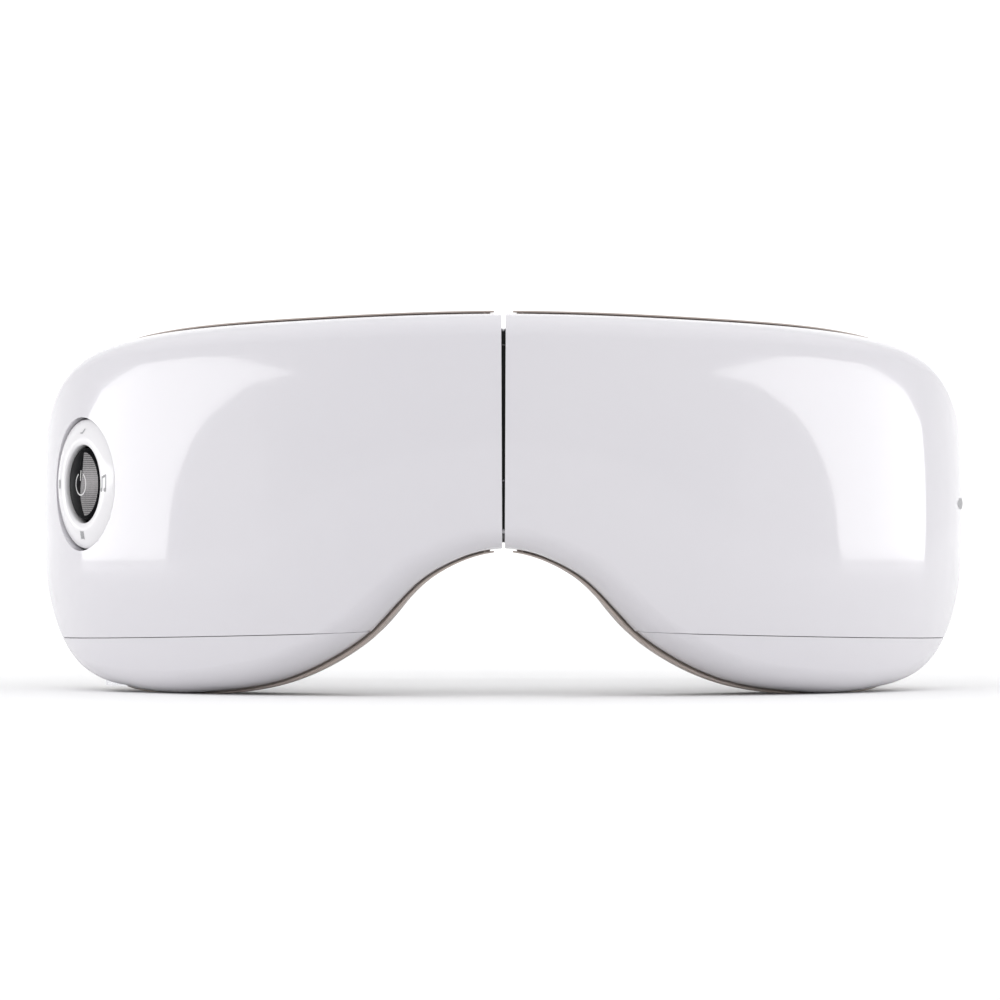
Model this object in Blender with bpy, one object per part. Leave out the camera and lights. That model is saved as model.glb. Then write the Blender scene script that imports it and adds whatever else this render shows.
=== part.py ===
"""Folding eye massager mask: two wrapped halves on a pin hinge, with pads, inner works and a head strap.

The mask is drawn in a developed coordinate: s runs along the wrapped front from the middle to the temple,
z is up, and h is the depth behind the front surface. place() wraps (s, z, h) round an elliptical plan.
+X is the viewer's right, the front faces -Y, and the mask stands on its lobes at z = 0.
All dimensions are in millimetres until place() turns them into metres.
"""

import math

import bmesh
import bpy
from mathutils import Matrix, Vector

MM = 0.001
LEFT, RIGHT = -1, 1

# Wrapped plan of the front surface
PLAN_A = 102.0
PLAN_B = 94.0
DEVELOPED = 98.0
FRONT_Y = -85.0

# Outline of one half in (s, z): top middle, temple tip, lobe, nose arch
OUTLINE = [
    (0.0, 79.5), (48.0, 78.2), (88.0, 76.0), (112.0, 72.6), (129.0, 65.6), (143.0, 54.5),
    (150.0, 41.5), (144.0, 26.5), (129.0, 12.5), (112.0, 3.2), (92.0, 0.4), (72.0, 0.4),
    (50.0, 3.5), (32.0, 11.8), (16.0, 25.6), (0.0, 30.6),
]

# Front shell
SHELL_WALL = 2.0
FILLET_IN = 5.0
FILLET_DEPTH = 8.7
CROWN = 1.4
CROWN_REACH = 30.0
RIM_H = FILLET_DEPTH + CROWN
MEDIAL_END = 121.0
GAP_TOP = 0.45
GAP_BOTTOM = 0.25
PARTING_INNER = 13.2
PARTING_OUTER = 11.2
PARTING_GAP = 0.7

# Trim band, rear frame and face pad, as depths behind the front surface
TRIM_FRONT = RIM_H + 0.35
TRIM_BACK = 13.1
TRIM_WIDTH = 3.2
PLATE_FRONT = 13.5
PLATE_BACK = 15.4
FLANGE_BACK = 18.6
PAD_BASE = 16.0
PAD_TOP = 28.2
BAR_SHARE = 0.5

# Fold hinge
AXIS_DEPTH = 8.2
FOLD_DEG = 70.0
BARREL_R = 3.3
PIN_R = 1.3
PIN_CLEAR = 0.08
KNUCKLES = (34.8, 44.8, 72.9, 75.7)
KNUCKLE_GAP = 0.3
LEAF_FRONT = 8.4
LEAF_BACK = 10.1
LEAF_END = 17.0

# Control panel on the left temple
PANEL_S = 106.4
PANEL_Z = 44.2
RING_R = 13.8
RING_INNER_R = 8.3
BUTTON_R = 7.7
RING_FACE = 0.6
RING_BACK = 2.8
PIVOT_DEPTH = 4.5

# Eye pads
EYE_S = 50.0
EYE_Z = 44.5
EYE_A = 21.0
EYE_B = 18.0
EYE_PAD_TRAVEL = 4.0

# Head strap
STRAP_Z = 42.0
STRAP_W = 22.0
STRAP_T = 1.6
LUG_END_S = 166.0
LUG_H = 16.1
STRAP_STRAIGHT = 44.0
STRAP_BACK = 170.0


def clear_scene():
    for obj in list(bpy.data.objects):
        bpy.data.objects.remove(obj, do_unlink=True)


def material(name, colour, roughness, metallic=0.0):
    made = bpy.data.materials.get(name) or bpy.data.materials.new(name)
    made.use_nodes = True
    shader = made.node_tree.nodes["Principled BSDF"]
    shader.inputs["Base Color"].default_value = (*colour, 1.0)
    shader.inputs["Roughness"].default_value = roughness
    shader.inputs["Metallic"].default_value = metallic
    made.diffuse_color = (*colour, 1.0)
    return made


# ---------------------------------------------------------------- shape of the mask


def plan(t, h):
    """(x, depth) of the plan ellipse at angle t, moved inwards by h."""
    normal = Vector((PLAN_B * math.sin(t), -PLAN_A * math.cos(t))).normalized()
    x = PLAN_A * math.sin(t) - h * normal.x
    depth = PLAN_B * (1.0 - math.cos(t)) - h * normal.y
    return x, depth


def place(side, s, z, h):
    x, depth = plan(s / DEVELOPED, h)
    return Vector((side * x, FRONT_Y + depth, z)) * MM


def local(side, s, z, h=0.0):
    """Axes at a point of the wrapped surface: X along it to the viewer's right, Y up, Z straight out of it."""
    t = s / DEVELOPED
    out = Vector((side * PLAN_B * math.sin(t), -PLAN_A * math.cos(t), 0.0)).normalized()
    up = Vector((0.0, 0.0, 1.0))
    along = up.cross(out)
    made = Matrix((along, up, out)).transposed().to_4x4()
    made.translation = place(side, s, z, h)
    return made


def smooth_curve(points, per_span):
    """Centripetal-like Catmull-Rom curve through the points; the ends stay level across the middle plane."""
    first = (-points[1][0], points[1][1])
    last = (-points[-2][0], points[-2][1])
    held = [first, *points, last]
    made = []
    for i in range(1, len(held) - 2):
        p0, p1, p2, p3 = (Vector(held[i + k]) for k in (-1, 0, 1, 2))
        span = (p2 - p1).length
        m1 = (p2 - p0) * span / ((p2 - p1).length + (p1 - p0).length)
        m2 = (p3 - p1) * span / ((p3 - p2).length + (p2 - p1).length)
        for k in range(per_span):
            u = k / per_span
            a = 2 * u**3 - 3 * u**2 + 1
            b = u**3 - 2 * u**2 + u
            c = -2 * u**3 + 3 * u**2
            d = u**3 - u**2
            made.append(p1 * a + m1 * b + p2 * c + m2 * d)
    made.append(Vector(points[-1]))
    return made


DENSE = smooth_curve(OUTLINE, 14)


def distance_in(point):
    """Distance from a point of the developed face to the outline."""
    best = 1e9
    for a, b in zip(DENSE, DENSE[1:]):
        edge = b - a
        share = max(0.0, min(1.0, (point - a).dot(edge) / edge.dot(edge)))
        best = min(best, (a + edge * share - point).length)
    return best


def depth_at(inset):
    """Depth of the shell's outer surface at a distance in from the outline: an edge fillet on a slight crown."""
    rest = 1.0 - min(inset, FILLET_IN) / FILLET_IN
    fillet = FILLET_DEPTH * (1.0 - math.sqrt(max(0.0, 1.0 - rest * rest)))
    crown = CROWN * (1.0 - min(inset / CROWN_REACH, 1.0)) ** 2
    return fillet + crown


def crossing(s, on_top):
    """z of the outline at s, on its upper or its lower run."""
    tip = max(range(len(DENSE)), key=lambda i: DENSE[i].x)
    run = DENSE[: tip + 1] if on_top else DENSE[tip:][::-1]
    for a, b in zip(run, run[1:]):
        if a.x <= s <= b.x:
            return a.y + (b.y - a.y) * (s - a.x) / max(b.x - a.x, 1e-9)
    return run[0].y


def resample(points, count):
    """The polyline with count points evenly spaced along it."""
    runs = [0.0]
    for a, b in zip(points, points[1:]):
        runs.append(runs[-1] + (b - a).length)
    made = []
    at = 0
    for k in range(count):
        goal = runs[-1] * k / (count - 1)
        while at < len(runs) - 2 and runs[at + 1] < goal:
            at += 1
        share = (goal - runs[at]) / max(runs[at + 1] - runs[at], 1e-9)
        made.append(points[at].lerp(points[at + 1], share))
    return made


def fold_clear_s(h):
    """The smallest s at depth h that the other half never sweeps while it folds."""
    slope = math.tan(math.radians(FOLD_DEG / 2 + 0.6))
    low, high = 0.0, 60.0
    for _ in range(40):
        middle = (low + high) / 2
        x, depth = plan(middle / DEVELOPED, h)
        if x > max((depth - AXIS_DEPTH) * slope + 0.35, BARREL_R + 0.5):
            high = middle
        else:
            low = middle
    return high


def proud(s):
    """How far the trim band stands out past the shell's edge."""
    lobe = math.exp(-(((s - 34.0) / 16.0) ** 2))
    return 0.35 + 0.55 * lobe


def half_loop(inset, h, count=30, bar=3, stands_out=0.0):
    """The outline of one half moved in by inset, closed by a bar beside the fold hinge."""
    moved = []
    for i, point in enumerate(DENSE):
        before = DENSE[max(i - 1, 0)]
        after = DENSE[min(i + 1, len(DENSE) - 1)]
        along = (after - before).normalized()
        if i in (0, len(DENSE) - 1):
            along = Vector((math.copysign(1.0, along.x), 0.0))
        low = point.y < 40.0 and point.x < 90.0
        extra = stands_out * (proud(point.x) if low else 0.55)
        spot = point + Vector((along.y, -along.x)) * (inset - extra)
        moved.append(Vector((spot.x, max(spot.y, 0.0))))
    edge = fold_clear_s(h) + BAR_SHARE * max(inset, 0.0)
    kept = []
    for a, b in zip(moved, moved[1:]):
        if (a.x - edge) * (b.x - edge) < 0:
            kept.append(a.lerp(b, (edge - a.x) / (b.x - a.x)))
        if b.x > edge:
            kept.append(b)
    loop = resample(kept, count)
    top, bottom = loop[0], loop[-1]
    for k in range(1, bar + 1):
        loop.append(bottom.lerp(top, k / (bar + 1)))
    return loop


def ellipse_loop(s, z, a, b, count):
    turns = [2 * math.pi * k / count for k in range(count)]
    return [Vector((s + a * math.cos(turn), z + b * math.sin(turn))) for turn in turns]


def facing_loop(loop, s, z, a, b):
    """Points of an ellipse that face the points of a loop round it."""
    made = []
    for point in loop:
        turn = math.atan2((point.y - z) / b, (point.x - s) / a)
        made.append(Vector((s + a * math.cos(turn), z + b * math.sin(turn))))
    return made


def wrapped(side, loop, h):
    return [place(side, p.x, p.y, h) for p in loop]


# ---------------------------------------------------------------- meshes


def add_object(name, bm, look):
    bmesh.ops.remove_doubles(bm, verts=bm.verts, dist=1e-7)
    bmesh.ops.recalc_face_normals(bm, faces=bm.faces)
    mesh = bpy.data.meshes.new(name)
    bm.to_mesh(mesh)
    bm.free()
    obj = bpy.data.objects.new(name, mesh)
    bpy.context.scene.collection.objects.link(obj)
    if look:
        mesh.materials.append(look)
    return obj


def loft(name, loops, look=None, closed=False):
    """A solid through equal loops. closed joins the last to the first, or both ends are capped."""
    bm = bmesh.new()
    rows = [[bm.verts.new(point) for point in loop] for loop in loops]
    pairs = list(zip(rows, rows[1:]))
    if closed:
        pairs.append((rows[-1], rows[0]))
    for low, high in pairs:
        for i in range(len(low)):
            j = (i + 1) % len(low)
            bm.faces.new((low[i], low[j], high[j], high[i]))
    if not closed:
        bm.faces.new(rows[0][::-1])
        bm.faces.new(rows[-1])
    return add_object(name, bm, look)


def disc(matrix, radius, out, steps):
    turns = [2 * math.pi * (k + 0.5) / steps for k in range(steps)]
    return [
        matrix @ (Vector((radius * math.cos(turn), radius * math.sin(turn), out)) * MM)
        for turn in turns
    ]


def lathe(name, matrix, profile, look=None, steps=24, closed=False):
    """Turns (radius, out) pairs round the matrix's Z axis."""
    loops = [disc(matrix, radius, out, steps) for radius, out in profile]
    return loft(name, loops, look, closed)


def block(name, matrix, size, centre=(0.0, 0.0, 0.0), look=None, soften=0.0):
    bm = bmesh.new()
    bmesh.ops.create_cube(bm, size=1.0)
    for vert in bm.verts:
        spread = Vector(vert.co[i] * size[i] + centre[i] for i in range(3))
        vert.co = matrix @ (spread * MM)
    if soften:
        bmesh.ops.bevel(
            bm, geom=bm.edges[:], offset=soften * MM, segments=1, profile=0.5, affect="EDGES"
        )
    return add_object(name, bm, look)


def apply_boolean(obj, other, operation):
    """Applies an exact Boolean and removes the helper."""
    other.hide_render = True
    other.display_type = "WIRE"
    modifier = obj.modifiers.new("shape", "BOOLEAN")
    modifier.operation = operation
    modifier.solver = "EXACT"
    modifier.object = other
    bpy.context.view_layer.update()
    evaluated = obj.evaluated_get(bpy.context.evaluated_depsgraph_get())
    mesh = bpy.data.meshes.new_from_object(evaluated)
    obj.modifiers.clear()
    obj.data = mesh
    bpy.data.objects.remove(other, do_unlink=True)


def cut(obj, other):
    apply_boolean(obj, other, "DIFFERENCE")


def join(obj, other):
    apply_boolean(obj, other, "UNION")


def turned(matrix, axis, degrees):
    return matrix @ Matrix.Rotation(math.radians(degrees), 4, axis)


# ---------------------------------------------------------------- looks

WHITE = material("gloss_white_abs", (0.80, 0.79, 0.81), 0.12)
TAUPE = material("taupe_abs", (0.45, 0.38, 0.34), 0.42)
GREY = material("grey_frame_abs", (0.36, 0.34, 0.33), 0.55)
SOFT = material("soft_leatherette", (0.30, 0.27, 0.26), 0.62)
CLOTH = material("eye_pad_knit", (0.22, 0.20, 0.20), 0.85)
BLACK = material("black_abs", (0.015, 0.015, 0.017), 0.2)
STEEL = material("steel", (0.62, 0.62, 0.64), 0.28, 1.0)
BOARD = material("circuit_board", (0.03, 0.16, 0.08), 0.5)
RUBBER = material("silicone_rubber", (0.72, 0.72, 0.74), 0.5)
FILM = material("heating_film", (0.55, 0.30, 0.12), 0.4)
CELL = material("battery_pouch", (0.45, 0.47, 0.52), 0.35)
CONE = material("speaker_cone", (0.06, 0.06, 0.065), 0.5)
WEB = material("elastic_webbing", (0.10, 0.095, 0.095), 0.9)


# ---------------------------------------------------------------- shells and covers


def shell_lines(columns=15, fan=11):
    """Lines from the outline in to the middle of the face: first the columns, then the fan round the temple."""
    middle_end = Vector((MEDIAL_END, 41.0))
    lines = []

    def medial(s):
        return 55.0 + (41.0 - 55.0) * (1.0 - math.cos(math.pi * min(s / 70.0, 1.0))) / 2

    stations = [MEDIAL_END * k / columns for k in range(columns + 1)]
    upper = [(Vector((s, crossing(s, True))), Vector((s, medial(s)))) for s in stations]
    lower = [(Vector((s, crossing(s, False))), Vector((s, medial(s)))) for s in stations]
    round_tip = [point for point in DENSE if point.x > MEDIAL_END]
    round_tip = [upper[-1][0], *round_tip, lower[-1][0]]
    ring = [(point, middle_end) for point in resample(round_tip, fan)]
    for start, end in upper + ring[1:-1] + lower[::-1]:
        lines.append((start, end))
    return lines


def shell_surface(side):
    """The outer surface of one half as an open mesh."""
    bm = bmesh.new()
    rows = []
    for start, end in shell_lines():
        way = end - start
        slant = distance_in(start + way * 0.02) / (way.length * 0.02)
        reach = min(0.62, FILLET_IN / (way.length * max(slant, 0.5)))
        shares = [reach * share for share in (0.0, 0.05, 0.18, 0.38, 0.66, 1.0)]
        shares += [reach + (1.0 - reach) * k / 3 for k in (1, 2, 3)]
        row = []
        for share in shares:
            point = start + way * share
            inset = 0.0 if share == 0.0 else distance_in(point)
            row.append(bm.verts.new(place(side, point.x, point.y, depth_at(inset))))
        rows.append(row)
    for low, high in zip(rows, rows[1:]):
        for i in range(len(low) - 1):
            bm.faces.new((low[i], low[i + 1], high[i + 1], high[i]))
    bmesh.ops.remove_doubles(bm, verts=bm.verts, dist=1e-6)
    bmesh.ops.dissolve_degenerate(bm, edges=bm.edges, dist=1e-6)
    bmesh.ops.recalc_face_normals(bm, faces=bm.faces)
    front = max(bm.faces, key=lambda face: -face.calc_center_median().y)
    if front.normal.y > 0:
        bmesh.ops.reverse_faces(bm, faces=bm.faces)
    return bm


def trim_surface(bm, point, normal):
    """Removes what lies on the side that the normal points to."""
    bmesh.ops.bisect_plane(
        bm,
        geom=bm.verts[:] + bm.edges[:] + bm.faces[:],
        dist=1e-6,
        plane_co=point,
        plane_no=normal,
        clear_outer=True,
    )


def thicken(name, bm, look):
    obj = add_object(name, bm, look)
    solid = obj.modifiers.new("wall", "SOLIDIFY")
    solid.thickness = SHELL_WALL * MM
    solid.offset = -1.0
    solid.use_even_offset = False
    solid.use_quality_normals = True
    bpy.context.view_layer.update()
    evaluated = obj.evaluated_get(bpy.context.evaluated_depsgraph_get())
    mesh = bpy.data.meshes.new_from_object(evaluated)
    obj.modifiers.clear()
    obj.data = mesh
    return obj


def parting_plane(side):
    inner = place(side, 33.0, PARTING_INNER, 0.0)
    outer = place(side, 115.0, PARTING_OUTER, 0.0)
    slope = (outer.z - inner.z) / abs(outer.x - inner.x)
    normal = Vector((-side * slope, 0.0, 1.0)).normalized()
    return inner, normal


def fold_relief(side):
    """The V behind the hinge axis that keeps the two rims apart while the mask folds."""
    slope = math.tan(math.radians(FOLD_DEG / 2 + 0.6))
    far = 5.0
    corners = ((-1.5, 0.0), (0.2, 0.0), (0.2 + far * slope, far), (-1.5, far))
    loops = []
    for z in (20.0, 90.0):
        row = [(side * x, FRONT_Y + AXIS_DEPTH + depth, z) for x, depth in corners]
        loops.append([Vector(point) * MM for point in row])
    return loft("fold_relief", loops)


def make_shells(side, word):
    tilt = (GAP_TOP - GAP_BOTTOM) / (79.5 - 31.0)
    middle = Vector((side * GAP_BOTTOM, 0.0, 31.0)) * MM
    away = Vector((-side, 0.0, tilt)).normalized()
    inner, up = parting_plane(side)
    shift = up * (PARTING_GAP / 2 * MM)

    upper = shell_surface(side)
    trim_surface(upper, middle, away)
    trim_surface(upper, inner + shift, -up)
    shell = thicken("front_shell_" + word, upper, WHITE)

    lower = shell_surface(side)
    trim_surface(lower, inner - shift, up)
    cover = thicken("lower_cover_" + word, lower, WHITE)

    # The walls lean into each other where the parting line runs out at the rim.
    across = up.cross(Vector((0.0, -1.0, 0.0))).normalized()
    flat = Matrix((across, up.cross(across), up)).transposed().to_4x4()
    flat.translation = inner
    size = (400.0, 400.0, 40.0)
    cut(shell, block("below", flat, size, (0.0, 0.0, PARTING_GAP / 2 - 20.05)))
    cut(shell, fold_relief(side))
    return shell, cover


def add_boss(obj, side, s, z, front):
    """A screw post on the back of a shell, with its pilot hole."""
    at = local(side, s, z)
    join(obj, lathe("boss", at, [(2.4, -front), (2.4, -TRIM_BACK)], steps=12))
    cut(obj, lathe("pilot", at, [(1.15, -5.0), (1.15, -TRIM_BACK - 1)], steps=12))


BODY_SCREWS = (("top_inner", 23.0, 69.6), ("top_outer", 88.0, 66.5), ("bottom", 84.0, 7.2))


def make_body_screws(side, word, shell, cover, frame):
    for where, s, z in BODY_SCREWS:
        add_boss(cover if where == "bottom" else shell, side, s, z, 1.6)
        at = local(side, s, z)
        cut(frame, lathe("hole", at, [(1.25, -12.0), (1.25, -17.0)], steps=12))
        cut(frame, lathe("sink", at, [(2.35, -14.3), (2.35, -19.0)], steps=12))
        profile = [(1.0, -6.0), (1.0, -14.4), (2.05, -14.4), (2.05, -15.4), (0.8, -15.5)]
        lathe(f"body_screw_{word}_{where}", at, profile, STEEL, steps=12)


# ---------------------------------------------------------------- trim, frame and pads


def make_trim(side, word):
    section = [
        (0.0, TRIM_FRONT, 1.0),
        (0.0, TRIM_BACK, 1.0),
        (TRIM_WIDTH, TRIM_BACK, 0.0),
        (TRIM_WIDTH, TRIM_FRONT, 0.0),
    ]
    loops = []
    for inset, h, out in section:
        loops.append(wrapped(side, half_loop(inset, h, stands_out=out), h))
    trim = loft("trim_band_" + word, loops, TAUPE, closed=True)
    notch = local(side, 6.0, 54.0, TRIM_FRONT)
    cut(trim, block("notch", notch, (14.0, 4.6, 12.0)))
    return trim


def make_frame(side, word):
    loops = [wrapped(side, half_loop(0.9, PLATE_FRONT - 0.1), PLATE_FRONT - 0.1)]
    steps = 5
    for h, order in ((PLATE_FRONT, range(0, steps + 1)), (PLATE_BACK, range(steps, -1, -1))):
        outer = half_loop(3.0, h)
        inner = facing_loop(outer, EYE_S, EYE_Z, 8.0, 6.0)
        for k in order:
            share = k / steps
            mixed = [a.lerp(b, share) for a, b in zip(outer, inner)]
            loops.append(wrapped(side, mixed, h))
    loops.append(wrapped(side, half_loop(3.0, FLANGE_BACK), FLANGE_BACK))
    loops.append(wrapped(side, half_loop(0.9, FLANGE_BACK), FLANGE_BACK))
    frame = loft("rear_frame_" + word, loops, GREY, closed=True)
    slot = local(side, 150.0, STRAP_Z, 17.6)
    cut(frame, block("lug_notch", slot, (24.0, 26.6, 3.6)))
    return frame


def make_face_pad(side, word):
    section = [
        (3.9, PAD_BASE),
        (3.9, 18.95),
        (1.4, 19.1),
        (0.9, 21.5),
        (1.5, 25.2),
        (4.0, 27.8),
        (7.0, PAD_TOP),
        (9.6, 26.6),
        (10.8, 22.0),
        (10.8, PAD_BASE),
    ]
    loops = [wrapped(side, half_loop(inset, h), h) for inset, h in section]
    pad = loft("face_pad_" + word, loops, SOFT, closed=True)
    cut(pad, lug_bar(side, "lug_room", 138.6, LUG_END_S, 14.0, LUG_H - 0.5, LUG_H + 2.4))
    return pad


def make_lining(side, word):
    """The padded cloth panel between the face pad and the eye pad."""
    loops = []
    steps = 4
    for h, order in ((PAD_BASE, range(0, steps + 1)), (17.6, range(steps, -1, -1))):
        outer = half_loop(11.4, h)
        inner = facing_loop(outer, EYE_S, EYE_Z, EYE_A + 1.2, EYE_B + 1.2)
        for k in order:
            mixed = [a.lerp(b, k / steps) for a, b in zip(outer, inner)]
            loops.append(wrapped(side, mixed, h))
    return loft("inner_lining_" + word, loops, CLOTH, closed=True)


def pillow(name, side, section, look, s=EYE_S, z=EYE_Z, a=EYE_A, b=EYE_B, count=24):
    """A soft disc that follows the wrap: each row is (share of the full size, depth)."""
    loops = []
    for share, h in section:
        loops.append(wrapped(side, ellipse_loop(s, z, a * share, b * share, count), h))
    return loft(name, loops, look)


def make_eye_group(side, word):
    bag = pillow(
        "airbag_" + word,
        side,
        [(0.3, 16.2), (0.8, 16.2), (0.93, 17.0), (0.93, 18.2), (0.8, 19.2), (0.3, 19.3)],
        RUBBER,
    )
    nipple = local(side, EYE_S, EYE_Z)
    join(bag, lathe("nipple", nipple, [(1.7, -11.2), (1.7, -17.4)], steps=12))
    cut(bag, lathe("bore", nipple, [(0.8, -10.0), (0.8, -16.6)], steps=12))
    film = pillow(
        "heating_film_" + word,
        side,
        [(0.3, 19.7), (0.9, 19.7), (0.9, 20.2), (0.3, 20.2)],
        FILM,
    )
    pad = pillow(
        "eye_pad_" + word,
        side,
        [(0.25, 20.6), (0.6, 20.6), (0.96, 20.6), (1.0, 21.6), (0.93, 23.6), (0.7, 24.8), (0.3, 25.2)],
        CLOTH,
    )
    return bag, film, pad


# ---------------------------------------------------------------- fold hinge


def hinge_matrix(z):
    made = Matrix.Identity(4)
    made.translation = Vector((0.0, FRONT_Y + AXIS_DEPTH, z)) * MM
    return made


def knuckle(name, low, high, look):
    clear = PIN_R + PIN_CLEAR
    profile = [(BARREL_R, low), (BARREL_R, high), (clear, high), (clear, low)]
    return lathe(name, hinge_matrix(0.0), profile, look, steps=24, closed=True)


def leaf_plate(side, name, low, high, reach=LEAF_END):
    """A flat plate from the barrel to the screw line."""
    at = Matrix.Identity(4)
    inner = 3.0
    centre = (
        side * (inner + reach) / 2,
        FRONT_Y + (LEAF_FRONT + LEAF_BACK) / 2,
        (low + high) / 2,
    )
    return block(name, at, (reach - inner, LEAF_BACK - LEAF_FRONT, high - low), centre)


HINGE_SCREW_Z = (47.0, 61.0)
HINGE_SCREW_X = 13.2


def make_hinge():
    bottom, low, high, top = KNUCKLES
    left = knuckle("hinge_leaf_left", bottom, low - KNUCKLE_GAP / 2, BLACK)
    join(left, leaf_plate(LEFT, "foot", 37.0, low - KNUCKLE_GAP / 2))
    upper = knuckle("upper", high + KNUCKLE_GAP / 2, top, BLACK)
    join(left, leaf_plate(LEFT, "web", 37.0, 76.0, reach=LEAF_END))
    clearance = [(BARREL_R + 0.35, low - KNUCKLE_GAP / 2), (BARREL_R + 0.35, high + KNUCKLE_GAP / 2)]
    cut(left, lathe("clear", hinge_matrix(0.0), clearance, steps=24))
    join(left, upper)
    bore = [(PIN_R + PIN_CLEAR, 30.0), (PIN_R + PIN_CLEAR, 80.0)]
    cut(left, lathe("bore", hinge_matrix(0.0), bore, steps=24))

    right = knuckle("hinge_leaf_right", low + KNUCKLE_GAP / 2, high - KNUCKLE_GAP / 2, BLACK)
    join(right, leaf_plate(RIGHT, "web", low + KNUCKLE_GAP / 2, high - KNUCKLE_GAP / 2))
    cut(right, lathe("bore", hinge_matrix(0.0), bore, steps=24))

    foot = KNUCKLES[0]
    profile = [(2.1, foot - 0.9), (2.4, foot - 0.7), (2.4, foot - 0.2), (PIN_R, foot - 0.2)]
    profile += [(PIN_R, KNUCKLES[3] + 0.3), (PIN_R - 0.4, KNUCKLES[3] + 0.6)]
    lathe("hinge_pin", hinge_matrix(0.0), profile, STEEL, steps=24)
    return left, right


def hinge_screw_axis(side, z):
    made = Matrix.Rotation(math.radians(90.0), 4, "X")
    made.translation = Vector((side * HINGE_SCREW_X, FRONT_Y, z)) * MM
    return made


def make_hinge_screws(side, word, leaf, frame):
    """Local Z points out of the front, so depths behind the front are negative."""
    for where, z in zip(("lower", "upper"), HINGE_SCREW_Z):
        at = hinge_screw_axis(side, z)
        join(frame, lathe("boss", at, [(2.3, -LEAF_BACK - 0.4), (2.3, -15.0)], steps=12))
        cut(frame, lathe("pilot", at, [(0.95, -8.0), (0.95, -14.2)], steps=12))
        cut(leaf, lathe("hole", at, [(1.05, -5.0), (1.05, -12.0)], steps=12))
        profile = [(1.9, -6.3), (1.9, -7.3), (0.8, -7.3), (0.8, -13.4)]
        lathe(f"hinge_screw_{word}_{where}", at, profile, STEEL, steps=12)


# ---------------------------------------------------------------- control panel


def make_panel(shell):
    at = local(LEFT, PANEL_S, PANEL_Z)
    cut(shell, lathe("panel_hole", at, [(14.25, 3.0), (14.25, -7.0)], steps=40))

    seat = [(13.3, -3.9), (15.6, -3.9), (15.6, -9.9), (9.0, -9.9), (9.0, -8.9), (13.3, -8.9)]
    seat = lathe("panel_seat", at, seat, BLACK, steps=24, closed=True)
    upright = turned(at, "X", -90.0)
    upright.translation = at @ (Vector((0.0, 0.0, -PIVOT_DEPTH)) * MM)
    cut(seat, lathe("stub_holes", upright, [(0.8, -14.8), (0.8, 14.8)], steps=12))

    level = turned(at, "Y", 90.0)
    level.translation = at @ (Vector((0.0, 0.0, -PIVOT_DEPTH)) * MM)
    band = [(10.9, -3.8), (12.5, -3.8), (12.5, -5.2), (10.9, -5.2)]
    gimbal = lathe("rocker_gimbal", at, band, GREY, steps=24, closed=True)
    for sign in (-1, 1):
        join(gimbal, lathe("stub", upright, [(0.55, sign * 11.6), (0.55, sign * 14.4)], steps=12))
    cut(gimbal, lathe("stub_holes", level, [(0.6, -13.5), (0.6, 13.5)], steps=12))

    face = [
        (RING_INNER_R, -RING_FACE - 0.1),
        (RING_INNER_R + 0.4, -RING_FACE + 0.2),
        (RING_R - 3.0, -RING_FACE + 0.1),
        (RING_R - 1.0, -RING_FACE - 0.4),
        (RING_R, -RING_FACE - 1.1),
        (RING_R, -RING_BACK),
        (RING_INNER_R, -RING_BACK),
    ]
    ring = lathe("control_ring", at, face, WHITE, steps=28, closed=True)
    for sign in (-1, 1):
        tab = (sign * 9.6, 0.0, -(RING_BACK - 0.4 + 5.2) / 2)
        join(ring, block("tab", at, (1.3, 2.6, 5.2 - RING_BACK + 0.4), tab))
        join(ring, lathe("stub", level, [(0.4, sign * 9.9), (0.4, sign * 12.2)], steps=12))

    cap = [
        (2.4, -6.5),
        (2.4, -3.0),
        (BUTTON_R, -3.0),
        (BUTTON_R, -1.4),
        (BUTTON_R - 0.5, -1.0),
        (BUTTON_R - 2.5, -0.45),
        (BUTTON_R - 5.0, -0.15),
    ]
    lathe("power_button", at, cap, BLACK, steps=24)

    board = [(12.6, -7.6), (12.6, -8.6)]
    board = lathe("button_board", at, board, BOARD, steps=24)
    for x, y in ((0.0, 0.0), (8.6, 0.0), (-8.6, 0.0), (0.0, 8.6), (0.0, -8.6)):
        high = -7.1 if (x or y) else -7.2
        size = (3.0, 3.0, high + 7.9)
        join(board, block("switch", at, size, (x, y, (high - 7.9) / 2)))


# ---------------------------------------------------------------- inner works


def make_left_works(cover):
    at = local(LEFT, 58.0, 63.0, 8.6)
    board = block("main_board", at, (44.0, 17.0, 1.2), look=BOARD)
    join(board, block("processor", at, (8.0, 8.0, 1.6), (-6.0, 1.0, 1.2)))
    join(board, block("driver", at, (6.0, 5.0, 1.3), (9.0, -2.0, 1.0)))
    join(board, block("plug", at, (5.0, 6.0, 2.6), (-16.5, 0.0, 1.6)))

    s = 100.0
    port = local(LEFT, s, 0.0, 7.1)
    cut(cover, block("port_hole", port, (9.7, 18.0, 4.0), (0.0, 2.0, 0.0), soften=0.5))
    socket = block("charging_socket", port, (8.9, 7.4, 3.2), (0.0, 5.0, 0.0), STEEL)
    cut(socket, block("mouth", port, (8.2, 10.0, 2.5), (0.0, 2.5, 0.0)))
    join(socket, block("tongue", port, (6.6, 5.4, 0.7), (0.0, 5.2, 0.0)))


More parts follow.
